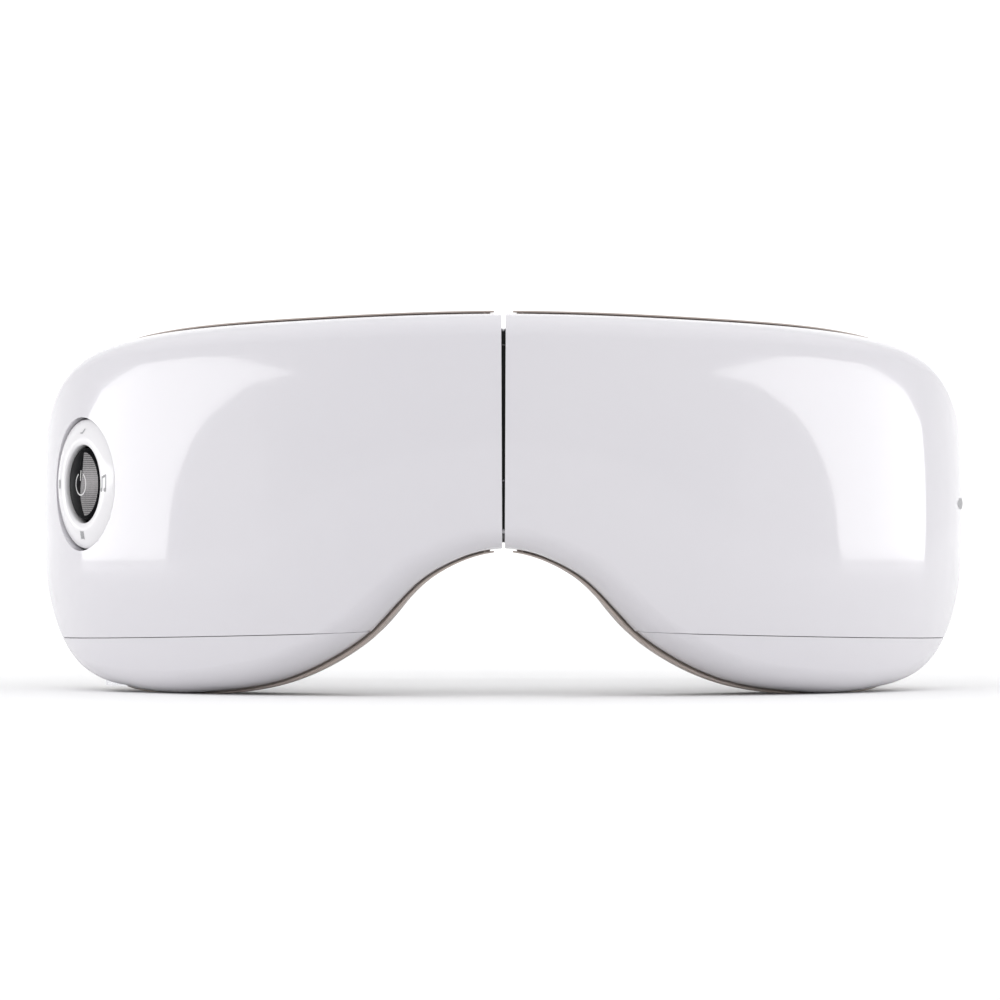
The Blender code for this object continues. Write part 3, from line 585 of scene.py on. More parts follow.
def board_finish():
    """Green solder mask with traces, and coppery patches painted on it."""
    made, look = new_finish("circuit_board", 0.4)
    at = look.coordinates()
    traces = look.new("TexBrick")
    sockets = {"Vector": at, "Scale": 420.0, "Mortar Size": 0.03, "Mortar": (0.05, 0.24, 0.1)}
    sockets |= {"Color1": (0.012, 0.11, 0.045), "Color2": (0.015, 0.135, 0.055)}
    mask = look.wired(traces, sockets, "Color")
    share = look.spread(look.noise(at, 500.0), 0.0, 1.0, 0.62, 0.66)
    look.feed("Base Color", look.blend(share, mask, (0.55, 0.42, 0.2)))
    look.relief(traces.outputs["Fac"], 0.3, 0.03)
    return made


def spun_metal_painted_reflection_finish():
    """Dark spun metal under a close grid of dimples; on the button's grey half it stands for a painted
    reflection.
    """
    made, look = new_finish("spun_metal_painted_reflection", 0.32, 0.6)
    at = look.coordinates(True)
    first = look.ribs(at, "X", 0.42)
    second = look.ribs(at, "Y", 0.42)
    dots = look.math("MULTIPLY", first, second)
    tone = look.spread(dots, 0.0, 1.0, 0.15, 0.85)
    colour = look.blend(tone, (0.11, 0.105, 0.108), (0.30, 0.29, 0.295))
    look.feed("Base Color", colour)
    look.feed("Roughness", look.spread(tone, 0.24, 0.42, 0.0, 1.0))
    look.relief(dots, 0.5, 0.03)
    return made


GLOSS_WHITE = gloss_white_finish()
DISC_WHITE = moulded(
    "disc_white_plastic", (0.78, 0.77, 0.785), (0.80, 0.79, 0.805), (0.1, 0.16), 25.0, 500.0, 0.003,
    coat=0.3,
)
TAUPE = moulded(
    "taupe_plastic", (0.43, 0.365, 0.325), (0.47, 0.40, 0.36), (0.3, 0.44), 45.0, 1500.0, 0.012,
)
GREY = moulded(
    "grey_frame_plastic", (0.30, 0.285, 0.28), (0.34, 0.32, 0.31), (0.5, 0.64), 50.0, 1800.0, 0.03,
)
BLACK = moulded(
    "black_plastic", (0.008, 0.008, 0.009), (0.016, 0.016, 0.018), (0.3, 0.44), 80.0, 1500.0, 0.01,
    mirror=0.3,
)
GLOSS_BLACK = moulded(
    "gloss_black_plastic", (0.003, 0.003, 0.004), (0.007, 0.007, 0.008), (0.12, 0.18), 60.0, 600.0,
    0.002, mirror=0.01,
)
STEEL = moulded(
    "plated_steel", (0.52, 0.52, 0.54), (0.62, 0.62, 0.64), (0.2, 0.36), 200.0, 2400.0, 0.01, 1.0,
)
SILICONE = moulded(
    "silicone_rubber", (0.62, 0.62, 0.64), (0.68, 0.68, 0.70), (0.42, 0.55), 90.0, 1300.0, 0.02,
)
FILM = moulded(
    "heating_film", (0.50, 0.26, 0.10), (0.58, 0.33, 0.14), (0.3, 0.42), 180.0, 900.0, 0.02,
)
POUCH = moulded(
    "battery_pouch", (0.40, 0.42, 0.47), (0.47, 0.49, 0.54), (0.28, 0.42), 120.0, 700.0, 0.05, 0.3,
)
CONE = moulded(
    "speaker_paper", (0.05, 0.05, 0.055), (0.075, 0.075, 0.08), (0.55, 0.7), 150.0, 1600.0, 0.05,
)
PRINT_GREY = moulded(
    "grey_print", (0.3, 0.3, 0.31), (0.36, 0.36, 0.37), (0.4, 0.5), 300.0, 3000.0, 0.003,
)
PRINT_PALE = moulded(
    "pale_print", (0.6, 0.59, 0.59), (0.66, 0.65, 0.65), (0.35, 0.45), 300.0, 3000.0, 0.003,
)
THREAD = moulded(
    "sewing_thread", (0.34, 0.3, 0.285), (0.42, 0.38, 0.36), (0.6, 0.75), 900.0, 5000.0, 0.03,
)
LEATHER = leather_finish()
EYE_KNIT = knit_finish("eye_pad_knit", (0.07, 0.066, 0.068), (0.2, 0.185, 0.185), True)
LINING_KNIT = knit_finish("lining_knit", (0.09, 0.083, 0.084), (0.23, 0.212, 0.21), True, 1.1)
WEBBING = webbing_finish()
BOARD = board_finish()
SPUN_WITH_PAINTED_REFLECTION = spun_metal_painted_reflection_finish()


# Shells and covers


def shell_rows(side):
    """Points of one half's outer surface: lines from the outline in to the middle of the face."""
    columns, fan, fillet_steps, inner_steps = 74, 44, 12, 15
    middle_end = Vector((MEDIAL_END, 41.0))

    def medial(s):
        return 55.0 - 7.0 * (1.0 - math.cos(math.pi * min(s / 70.0, 1.0)))

    stations = [MEDIAL_END * k / columns for k in range(columns + 1)]
    upper = [(Vector((s, crossing(s, True))), Vector((s, medial(s)))) for s in stations]
    lower = [(Vector((s, crossing(s, False))), Vector((s, medial(s)))) for s in stations]
    tip = [upper[-1][0], *[p for p in DENSE if p.x > MEDIAL_END], lower[-1][0]]
    fan_lines = [(point, middle_end) for point in resample(tip, fan)]
    lines = upper + fan_lines[1:-1] + lower[::-1]
    starts = [start + (end - start) * 0.02 for start, end in lines]
    slants = insets(starts)[0]
    flat = []
    for (start, end), near in zip(lines, slants):
        way = end - start
        reach = min(0.62, FILLET_IN / (way.length * max(near / (way.length * 0.02), 0.5)))
        turns = [math.pi / 2 * k / fillet_steps for k in range(fillet_steps + 1)]
        shares = [reach * (1.0 - math.cos(turn)) for turn in turns]
        shares += [reach + (1.0 - reach) * k / inner_steps for k in range(1, inner_steps + 1)]
        flat.append([start + way * share for share in shares])
    deep = depths([point for row in flat for point in row])
    tilt = (GAP_TOP - GAP_BOTTOM) / (79.5 - 31.0)
    rows, at = [], 0
    for row in flat:
        made = []
        for point in row:
            depth = float(deep[at])
            at += 1
            gap = GAP_BOTTOM + (point.y - 31.0) * tilt
            edge = max(gap, (depth - AXIS_DEPTH) * fold_slope() + 0.2)
            s = point.x + edge * max(0.0, 1.0 - point.x / 10.0)
            made.append(place(side, s, point.y, depth))
        rows.append(made)
    return rows


def parting_plane(side):
    inner = place(side, 33.0, PARTING_INNER, 0.0)
    outer = place(side, 115.0, PARTING_OUTER, 0.0)
    slope = (outer.z - inner.z) / abs(outer.x - inner.x)
    return inner, Vector((-side * slope, 0.0, 1.0)).normalized()


def half_surface(side):
    bm = surface_of(shell_rows(side))
    bmesh.ops.remove_doubles(bm, verts=bm.verts, dist=2e-6)
    bmesh.ops.dissolve_degenerate(bm, edges=bm.edges, dist=2e-6)
    bmesh.ops.recalc_face_normals(bm, faces=bm.faces)
    front = min(bm.faces, key=lambda face: face.calc_center_median().y)
    if front.normal.y > 0:
        bmesh.ops.reverse_faces(bm, faces=bm.faces)
    return bm


def keep_side(bm, point, away):
    """Trims the surface along a plane. What lies close is pulled onto it, so no sliver is left."""
    bmesh.ops.bisect_plane(
        bm, geom=bm.verts[:] + bm.edges[:] + bm.faces[:], dist=0.0003, plane_co=point,
        plane_no=away, use_snap_center=True, clear_outer=True,
    )


def walled(name, bm, width):
    """Gives an open surface its wall and softly broken edges."""
    obj = piece(name, bm, GLOSS_WHITE, tidy=False)
    wall = obj.modifiers.new("wall", "SOLIDIFY")
    wall.thickness = SHELL_WALL * MM
    wall.offset = -1.0
    settle(obj)
    round_edges(obj, width)
    return obj


def post_shape(side, s, z):
    """A hollow screw post on the back of a shell."""
    profile = [(1.15, -1.8), (2.4, -1.8), (2.4, -TRIM_BACK), (1.15, -TRIM_BACK)]
    return turned_profile(local(side, s, z), profile, 20, closed=True)


def add_on(obj, parts):
    """Adds closed shapes to a finished piece without a cut."""
    bm = bmesh.new()
    bm.from_mesh(obj.data)
    whole = joined([bm, *parts])
    whole.to_mesh(obj.data)
    whole.free()
    smooth(obj.data)


def even_shading(obj):
    """Lets the big faces decide the shading beside narrow edges and holes."""
    evened = obj.modifiers.new("shading", "WEIGHTED_NORMAL")
    evened.mode = "FACE_AREA"
    evened.weight = 80
    evened.keep_sharp = True
    bpy.context.view_layer.update()
    shaded = obj.evaluated_get(bpy.context.evaluated_depsgraph_get())
    obj.data, spent = bpy.data.meshes.new_from_object(shaded), obj.data
    obj.modifiers.clear()
    bpy.data.meshes.remove(spent)


def make_shells(side, word):
    inner, up = parting_plane(side)
    shift = up * (PARTING_GAP / 2 * MM)
    upper = half_surface(side)
    keep_side(upper, inner + shift, -up)
    shell = walled("fine_front_shell_" + word, upper, 0.4)
    if side == LEFT:
        at = local(LEFT, PANEL_S, PANEL_Z)
        carve(shell, turned_profile(at, [(0.0, 3.0), (HOLE_R, 3.0), (HOLE_R, -7.0), (0.0, -7.0)], 96))
        round_edges(shell, 0.35, 2, 60.0)
    add_on(shell, [post_shape(side, s, z) for s, z in SHELL_SCREWS])
    even_shading(shell)
    shown(shell, word + "_half", "gloss_white", "front_shell_" + word)

    lower = half_surface(side)
    keep_side(lower, inner - shift, up)
    cover = walled("fine_lower_cover_" + word, lower, 0.16)
    if side == LEFT:
        port = local(LEFT, 100.0, 0.0, 7.1)
        carve(cover, box_shape(port, (9.7, 18.0, 4.0), (0.0, 2.0, 0.0), 0.9))
    add_on(cover, [post_shape(side, *COVER_SCREW)])
    even_shading(cover)
    shown(cover, word + "_half", "gloss_white", "lower_cover_" + word)


# Trim, frame and pads


def ring_of(side, section, count, bar):
    """A closed band round one half through (inset, depth, how far it stands out) points."""
    rows = []
    for inset, h, out in section:
        rows.append(laid(side, half_loop(inset, h, count, bar, out), h))
    return surface_of(rows, close_rows=True, close_columns=True)


def corner(cx, cy, r, first, last, steps=3):
    """Points of an arc, in degrees."""
    made = []
    for k in range(steps + 1):
        turn = math.radians(first + (last - first) * k / steps)
        made.append((cx + r * math.cos(turn), cy + r * math.sin(turn)))
    return made


TRIM_SECTION = [
    (TRIM_WIDTH, TRIM_FRONT + 1.2, 0.0), (0.0, TRIM_FRONT + 1.2, 0.35), (0.0, TRIM_FRONT + 0.1, 0.35),
    (0.0, TRIM_FRONT, 0.5), (0.12, TRIM_FRONT, 1.0), (0.03, TRIM_FRONT + 0.06, 1.0),
    (0.0, TRIM_FRONT + 0.2, 1.0), (0.0, TRIM_BACK - 0.3, 1.0), (0.09, TRIM_BACK - 0.09, 1.0),
    (0.3, TRIM_BACK, 1.0), (TRIM_WIDTH, TRIM_BACK, 0.0),
]


def trim_lip(side, on_top):
    """The tapered end of the trim beside the hinge, cut back so that it clears the other half's."""
    rows = []
    for inset, h, out in TRIM_SECTION:
        first = ((h - AXIS_DEPTH) * fold_slope() + 0.3) / 0.93
        last = 4.6
        row = []
        for k in range(9):
            s = first + (last - first) * k / 8
            stand = out * (0.6 if on_top else proud(s)) - min(inset, 1.5)
            z = crossing(s, on_top) + (stand if on_top else -stand)
            row.append(place(side, s, z, h))
        rows.append(row)
    bm = surface_of(rows, close_rows=True)
    cap_ends(bm)
    return bm


def make_trim(side, word):
    trim = piece("fine_trim_band_" + word, ring_of(side, TRIM_SECTION, 300, 16), TAUPE)
    carve(trim, box_shape(local(side, 6.0, BRIDGE_Z, TRIM_FRONT), (14.0, 4.6, 12.0)))
    shown(trim, word + "_half", "taupe", "trim_band_" + word)
    lips = piece("trim_ends_" + word, joined([trim_lip(side, True), trim_lip(side, False)]), TAUPE)
    shown(lips, word + "_half", "taupe")


def make_frame(side, word):
    """The rear plate with its flange, strap slot and sunk screw holes."""
    steps = 7
    rows = []

    def add(loop, h):
        rows.append(laid(side, loop, h))

    add(half_loop(0.9, PLATE_FRONT), PLATE_FRONT - 0.1)
    for h, order in ((PLATE_FRONT, range(0, steps + 1)), (PLATE_BACK, range(steps, -1, -1))):
        outer = half_loop(3.0, h)
        inner = facing_loop(outer, 8.0, 6.0)
        for k in order:
            add([a.lerp(b, k / steps) for a, b in zip(outer, inner)], h)
    for inset, short in ((3.0, 0.0), (2.75, 0.0), (1.15, 0.0), (0.9, 0.25)):
        add(half_loop(inset, FLANGE_BACK), FLANGE_BACK - short)
    obj = piece("fine_rear_frame_" + word, surface_of(rows, True, True), GREY)
    carve(obj, box_shape(local(side, 150.0, STRAP_Z, 17.6), (24.0, 26.6, 3.6)))
    sink = [(0.0, -12.0), (1.25, -12.0), (1.25, -14.3), (2.35, -14.3), (2.35, -19.0), (0.0, -19.0)]
    for s, z in (*SHELL_SCREWS, COVER_SCREW):
        carve(obj, turned_profile(local(side, s, z), sink, 24))
    shown(obj, word + "_half", "grey_frame", "rear_frame_" + word)


def eased(loop, passes):
    """The closed loop with its corners rounded."""
    spots = np.array([tuple(p) for p in loop])
    for _ in range(passes):
        spots = 0.5 * spots + 0.25 * (np.roll(spots, 1, axis=0) + np.roll(spots, -1, axis=0))
    return [Vector(spot) for spot in spots]


def lug_room(s, z):
    """1 where the strap's lug passes under the pad, fading to 0 round it."""
    along = min(max((s - 136.0) / 3.0, 0.0), 1.0)
    across = min(max((16.5 - abs(z - STRAP_Z)) / 2.0, 0.0), 1.0)
    share = min(along, across)
    return share * share * (3.0 - 2.0 * share)


def make_face_pad(side, word):
    """A foam ring under leatherette, pulled in at its sewn edges, with puckers between the stitches."""
    key = [
        (3.9, 16.0), (3.9, 18.95), (1.9, 18.95), (1.1, 19.5), (0.85, 21.2), (1.1, 23.6), (2.0, 26.0),
        (3.9, 27.6), (6.4, PAD_TOP), (8.4, 27.7), (9.5, 26.7), (9.75, 26.1), (10.25, 25.9),
        (10.75, 25.1), (10.8, 22.0), (10.8, 16.0),
    ]
    section = smooth_curve(key, 4, False)
    rows = []
    for inset, h in section:
        loop = eased(half_loop(inset, h, PAD_COLUMNS, PAD_BAR), PAD_EASING)
        pull_seam = math.exp(-(((inset - 9.75) / 0.8) ** 2)) if h > 25.0 else 0.0
        pull_base = math.exp(-(((h - 19.4) / 1.0) ** 2)) if inset < 2.5 else 0.0
        row = []
        for k, p in enumerate(loop):
            stitch = 0.5 + 0.5 * math.cos(2 * math.pi * k / 3.0)
            drift = math.sin(k * 0.21) + 0.6 * math.sin(k * 0.083 + 1.0) + 0.5 * math.sin(k * 0.37 + 2.0)
            crease = pull_seam * (0.16 * stitch + 0.05 * drift) - pull_base * 0.1 * drift
            swell = 0.12 * drift * math.exp(-(((inset - 5.5) / 3.0) ** 2)) if h > 24.0 else 0.0
            deep = h - crease + swell
            deep += lug_room(p.x, p.y) * max(0.0, 18.8 - deep)
            row.append(place(side, p.x, p.y, deep))
        rows.append(row)
    bm = surface_of(rows, True, True, size=(0.42, 0.045))
    pad = piece("soft_face_pad_" + word, bm, LEATHER, 60.0)
    shown(pad, word + "_half", "soft_pad", "face_pad_" + word)


def make_stitches(side, word):
    """The row of stitches along the face pad's inner seam."""
    inset, depth = 9.15, 27.25
    seam = eased(half_loop(inset, depth - 0.05, 150, 9), 4)
    parts = []
    for a, b in zip(seam, seam[1:] + seam[:1]):
        start, end = place(side, a.x, a.y, depth), place(side, b.x, b.y, depth)
        middle, way = start.lerp(end, 0.5), (end - start)
        stitch = bmesh.new()
        bmesh.ops.create_icosphere(stitch, subdivisions=1, radius=1.0)
        bmesh.ops.scale(stitch, vec=(way.length * 0.36, 0.17 * MM, 0.17 * MM), verts=stitch.verts)
        turn = way.to_track_quat("X", "Z").to_matrix().to_4x4()
        turn.translation = middle
        bmesh.ops.transform(stitch, matrix=turn, verts=stitch.verts)
        parts.append(stitch)
    stitches = piece("pad_stitches_" + word, joined(parts), THREAD, 80.0)
    shown(stitches, word + "_half", "soft_pad")


def make_lining(side, word):
    """The knit panel between the face pad and the eye pad, quilted over thin foam."""
    steps = 16

    def spans(h):
        outer = half_loop(11.1, h)
        return list(zip(outer, facing_loop(outer, EYE_A + 0.9, EYE_B + 0.9)))

    front, back = spans(17.6), spans(PAD_BASE)
    rows = []
    for share in (k / steps for k in range(steps + 1)):
        row = []
        for a, b in front:
            p = a.lerp(b, share)
            crown = min(1.0, (a - b).length / 9.0) * 1.5 * math.sin(math.pi * share) ** 0.6
            row.append(place(side, p.x, p.y, 17.5 + crown))
        rows.append(row)
    for share in (k / steps for k in range(steps, -1, -4)):
        rows.append(laid(side, [a.lerp(b, share) for a, b in back], PAD_BASE))
    bm = surface_of(rows, True, True, size=(0.3, 0.05))
    lining = piece("quilted_lining_" + word, bm, LINING_KNIT, 50.0)
    shown(lining, word + "_half", "knit", "inner_lining_" + word)


def eye_disc(side, share, turn, h):
    """A point of the eye pad at a share of its radius."""
    wobble = 1.0 + 0.004 * math.sin(7 * turn) * (1.0 if share > 0.8 else 0.0)
    s = EYE_S + EYE_A * share * wobble * math.cos(turn)
    z = EYE_Z + EYE_B * share * wobble * math.sin(turn)
    return place(side, s, z, h)


def make_eye_pad(side, word):
    """A crowned knit cushion with a sewn ring, a welted edge and puckers at its seam."""
    count = 160
    rows = []
    shares = [1.0 - 0.03 * k for k in range(6)] + [0.8, 0.74, 0.69, 0.66, 0.64, 0.62, 0.6, 0.58]
    shares += [0.55, 0.5, 0.42, 0.34, 0.26, 0.18, 0.1, 0.03]
    for share in (0.3, 0.7, 0.93):
        rows.append([eye_disc(side, share, 2 * math.pi * k / count, 20.6) for k in range(count)])
    rows.append([eye_disc(side, 0.985, 2 * math.pi * k / count, 20.75) for k in range(count)])
    for share in shares:
        row = []
        for k in range(count):
            turn = 2 * math.pi * k / count
            dome = 4.5 * (1.0 - share**2.6) ** 0.55
            groove = 0.75 * math.exp(-(((share - 0.62) / 0.035) ** 2))
            puff = 0.22 * math.cos(turn * 26) * math.exp(-(((share - 0.62) / 0.06) ** 2))
            pucker = 0.16 * math.cos(turn * 40) * math.exp(-(((share - 0.93) / 0.05) ** 2))
            row.append(eye_disc(side, share, turn, 21.0 + dome - groove + puff * 0.5 + pucker))
        rows.append(row)
    bm = surface_of(rows, close_columns=True, size=(0.11, 0.024))
    cap_ends(bm)
    flat_chart(bm, local(side, EYE_S, EYE_Z))
    pad = piece("knit_eye_pad_" + word, bm, EYE_KNIT, 60.0)
    shown(pad, word + "_eye_pad", "knit", "eye_pad_" + word)
    welt_rows = []
    for k in range(count):
        turn = 2 * math.pi * k / count
        centre = eye_disc(side, 0.985, turn, 21.5)
        outer = (eye_disc(side, 1.05, turn, 21.5) - centre).normalized()
        inward = (eye_disc(side, 0.985, turn, 22.5) - centre).normalized()
        row = []
        for m in range(10):
            bend = 2 * math.pi * m / 10
            row.append(centre + (outer * math.cos(bend) + inward * math.sin(bend)) * 0.55 * MM)
        welt_rows.append(row)
    tube = surface_of(welt_rows, True, True, size=(0.0035, 0.12))
    welt = piece("eye_pad_welt_" + word, tube, LEATHER)
    shown(welt, word + "_eye_pad", "soft_pad")


# Control disc


def make_panel():
    """The rocking ring, its domed button and their printed signs."""
    at = local(LEFT, PANEL_S, PANEL_Z)
    profile = [(RING_INNER_R + 0.1, -2.8), (RING_INNER_R, -2.6), (RING_INNER_R, -0.95)]
    profile += [(8.36, -0.72), (8.5, -0.5), *RING_TOP, (13.72, -1.4), (RING_R, -1.6)]
    profile += [(RING_R, -2.6), (13.6, -2.8)]
    ring = piece("fine_control_ring", turned_profile(at, profile, 128, closed=True), DISC_WHITE, 50.0)
    shown(ring, "ring", "gloss_white", "control_ring")

    profile = [(0.0, -6.5), (2.4, -6.5), (2.4, -3.0), (BUTTON_R, -3.0), (BUTTON_R, -1.5)]
    profile += [(7.62, -1.2), (7.45, -1.05), (7.2, -0.94), (6.9, -0.86), (6.6, -0.8)]
    profile += [(r, DOME_TOP - DOME_FALL * r * r) for r in (6.0, 5.0, 4.0, 3.0, 2.0, 1.0, 0.0)]
    button = piece("domed_power_button", turned_profile(at, profile, 96), GLOSS_BLACK, 40.0)
    shown(button, "button", "black_plastic", "power_button")

    def dome(x, y, lift):
        return at @ (Vector((x, y, DOME_TOP - DOME_FALL * (x * x + y * y) + lift)) * MM)

    rows = []
    # Painted reflection: a grey dimpled sheet over one half of the black button stands for the light
    # that its spun face reflects; the dimples are real.
    for k in range(25):
        y = 6.75 * math.sin(math.pi / 2 * (k / 12.0 - 1.0))
        right = math.sqrt(max(6.8**2 - y * y, 0.0))
        left = min(0.2 + 0.45 * math.sin(y * 0.5), right)
        rows.append([dome(left + (right - left) * j / 16, y, 0.03) for j in range(17)])
    half = surface_of(rows)
    flat_chart(half, at)
    bmesh.ops.remove_doubles(half, verts=half.verts, dist=1e-6)
    bmesh.ops.recalc_face_normals(half, faces=half.faces)
    if next(iter(half.faces)).normal.dot(at.col[2].xyz) < 0:
        bmesh.ops.reverse_faces(half, faces=half.faces)
    face = piece("button_half_painted_reflection", half, SPUN_WITH_PAINTED_REFLECTION, 80.0, tidy=False)
    shown(face, "button", "steel")

    def ribbon(points, width, place_at):
        """A thin printed line along flat points."""
        rows = []
        for i, point in enumerate(points):
            way = heading_at(points, i)
            across = Vector((-way.y, way.x)) * width / 2
            spots = (point + across, point, point - across)
            rows.append([place_at(spot.x, spot.y) for spot in spots])
        return surface_of(rows)

    def line(*points):
        return [Vector(point) for point in points]

    def arc(*values):
        return line(*corner(*values))

    sign_parts = [
        ribbon(arc(0.0, 0.0, 2.35, 118, 422, 28), 0.32, lambda x, y: dome(x, y, 0.045)),
        ribbon(line((0.0, 2.9), (0.0, 1.8), (0.0, 0.7)), 0.32, lambda x, y: dome(x, y, 0.05)),
    ]
    sign = piece("power_sign", joined(sign_parts), PRINT_PALE, 80.0)
    shown(sign, "button", "silicone")

    def on_ring(x, y):
        top = float(np.interp(math.hypot(x, y), *zip(*RING_TOP)))
        return at @ (Vector((x, y, top + 0.05)) * MM)

    marks = [
        (line((-0.9, 10.9), (-0.35, 10.9), (0.2, 10.9)), 0.3),
        (line((0.1, 10.9), (0.55, 11.35), (1.0, 11.8)), 0.3),
        (line(*((-10.9, y) for y in (-0.95, -0.5, 0.0, 0.5, 0.95))), 1.15),
    ]
    for x in (9.7, 11.1):
        marks.append((line((x, 1.5), (x, 0.2), (x, -1.1)), 0.26))
        marks.append((arc(x - 0.35, -1.25, 0.22, 0, 360, 12), 0.44))
    marks += [
        (line((9.65, 1.35), (10.4, 1.6), (11.15, 1.85)), 0.5),
        (arc(0.0, -10.9, 0.42, 0, 360, 16), 0.84),
        (line((0.75, -10.0), (0.45, -10.9), (0.8, -11.8)), 0.24),
        (line((-0.75, -10.0), (-0.5, -10.9), (-0.85, -11.8)), 0.3),
    ]
    signs = joined([ribbon(points, width, on_ring) for points, width in marks])
    printed = piece("ring_marks", signs, PRINT_GREY, 80.0)
    shown(printed, "ring", "black_plastic")


def make_temple_mark():
    """A small plain almond printed on the right temple."""
    rows = []
    for k in range(21):
        x = -4.2 + 8.4 * k / 20
        half = 1.25 * math.sqrt(max(0.0, 1.0 - (x / 4.25) ** 2)) ** 1.6
        spots = [Vector((132.0 + x, 40.0 + half * m)) for m in (-1.0, -0.5, 0.0, 0.5, 1.0)]
        deep = depths(spots)
        rows.append([place(RIGHT, p.x, p.y, float(d) - 0.03) for p, d in zip(spots, deep)])
    bm = surface_of(rows)
    bmesh.ops.remove_doubles(bm, verts=bm.verts, dist=1e-6)
    mark = piece("temple_mark", bm, PRINT_GREY, 80.0)
    shown(mark, "right_half", "black_plastic")


# Strap and harness


def strap_path():
    """Plan points of the strap's centre line: the end round the lug, the straight run, the bend."""
    lug_middle = LUG_H + LUG_T / 2
    gap = LUG_T / 2 + 0.45 + STRAP_T / 2

    def at(s, away):
        x, depth = plan(s / DEVELOPED, lug_middle - away)
        return Vector((x, depth))

    bar = LUG_END_S - 1.5
    tail = [at(bar + 9.5, -1.35 - gap * 0.25), at(bar + 3.5, -gap), at(bar, -gap)]
    wrap = []
    centre = LUG_END_S - 3.55
    for k in range(7):
        turn = math.pi * k / 6
        wrap.append(at(centre - 1.75 * math.sin(turn), -gap * math.cos(turn)))
    start = at(bar + 2.0, gap)
    heading = (at(bar + 3.0, gap) - at(bar - 1.0, gap)).normalized()
    straight = [start + heading * STRAP_STRAIGHT * k / 3 for k in range(4)]
    corner_point = straight[-1]
    back = Vector((0.0, STRAP_BACK - STRAP_T / 2))
    pull = corner_point + heading * 26.0
    round_head = []
    for k in range(1, 13):
        u = k / 12
        v = 1.0 - u
        side_pull = Vector((42.0, back.y))
        spot = corner_point * v**3 + pull * 3 * v * v * u + side_pull * 3 * v * u * u + back * u**3
        round_head.append(spot)
    return [*tail, *wrap], straight, round_head


def band_along(path, name):
    """A woven band on its edge along plan points, with soft selvedges."""
    fine = resample(smooth_curve(path, 8, False), max(24, int(len(path) * 14)))
    length = sum((b - a).length for a, b in zip(fine, fine[1:]))
    half_w, half_t = STRAP_W / 2, STRAP_T / 2
    outline = []
    for cz, first in ((half_w - half_t, 0), (-(half_w - half_t), 180)):
        for away, z in corner(0.0, 0.0, half_t, first, first + 180, 6):
            outline.append((away, cz + z))
    flat = []
    for (a0, z0), (a1, z1) in zip(outline, outline[1:] + outline[:1]):
        count = 10 if abs(z1 - z0) > 10.0 else 1
        flat += [(a0 + (a1 - a0) * k / count, z0 + (z1 - z0) * k / count) for k in range(count)]
    rows = []
    for i, point in enumerate(fine):
        along = heading_at(fine, i)
        across = Vector((along.y, -along.x))
        row = []
        for away, z in flat:
            spot = point + across * away
            row.append(Vector((spot.x, FRONT_Y + spot.y, STRAP_Z + z)) * MM)
        rows.append(row)
    bm = surface_of(rows, close_columns=True)
    chart = bm.loops.layers.uv.verify()
    for face in bm.faces:
        for loop in face.loops:
            v = loop[chart].uv.y
            loop[chart].uv = (v * length * MM, loop.vert.co.z)
    cap_ends(bm)
    return piece(name, bm, WEBBING, 50.0)


def mirrored(path):
    return [Vector((-p.x, p.y)) for p in path]


def make_strap():
    end, straight, round_head = strap_path()
    left = mirrored([*straight, *round_head])
    band = band_along(left + [*straight, *round_head][-2::-1], "woven_head_strap")
    shown(band, "left_half", "webbing", "head_strap")
    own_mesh(band)
    for side, word in SIDES:
        path = [*end, straight[0]]
        loop = band_along(mirrored(path) if side == LEFT else path, "strap_end_" + word)
        shown(loop, word + "_half", "webbing")


def make_slider():
    """A ribbed keeper that slides along the strap's left side."""
    _, straight, _ = strap_path()
    middle = straight[0].lerp(straight[3], 0.57)
    heading = (straight[3] - straight[0]).normalized()
    along = Vector((-heading.x, heading.y, 0.0))
    up = Vector((0.0, 0.0, 1.0))
    at = Matrix((along, up.cross(along), up)).transposed().to_4x4()
    at.translation = Vector((-middle.x, FRONT_Y + middle.y, STRAP_Z)) * MM
    body = box_shape(at, (7.0, 5.4, STRAP_W + 5.0), soften=1.1, segments=4)
    slider = piece("moulded_slider", body, BLACK, 30.0)
    carve(slider, box_shape(at, (12.0, STRAP_T + 0.7, STRAP_W + 0.7), soften=0.5))
    for x in (-2.1, -0.7, 0.7, 2.1):
        for y in (3.1, -3.1):
            carve(slider, box_shape(at, (0.5, 1.2, 14.0), (x, y, 0.0), 0.15, 1))
    shown(slider, "slider", "black_plastic", "strap_slider")


def make_lug(side, word):
    """A flat lug with rounded ends and a window that the strap passes through."""
    end_r, edge_r, half_width = 1.8, 0.35, 13.0
    rows = []
    for k in range(41):
        s = LUG_START_S + (LUG_END_S - LUG_START_S) * k / 40
        near = min(s - LUG_START_S, LUG_END_S - s)
        edge = end_r - math.sqrt(max(0.0, end_r**2 - max(0.0, end_r - near) ** 2))
        z = half_width - edge - edge_r
        section = corner(LUG_H + edge_r, z, edge_r, 180, 90)
        section += corner(LUG_H + LUG_T - edge_r, z, edge_r, 90, 0)
        section += [(h, -z) for h, z in reversed(section)]
        rows.append([place(side, s, STRAP_Z + z, h) for h, z in section])
    bm = surface_of(rows, close_columns=True)
    cap_ends(bm)
    lug = piece("fine_strap_lug_" + word, bm, GREY)
    window = local(side, LUG_END_S - 5.4, STRAP_Z, LUG_H + LUG_T / 2)
    carve(lug, box_shape(window, (4.8, STRAP_W + 1.2, 8.0), soften=0.6))
    shown(lug, word + "_half", "grey_frame", "strap_lug_" + word)


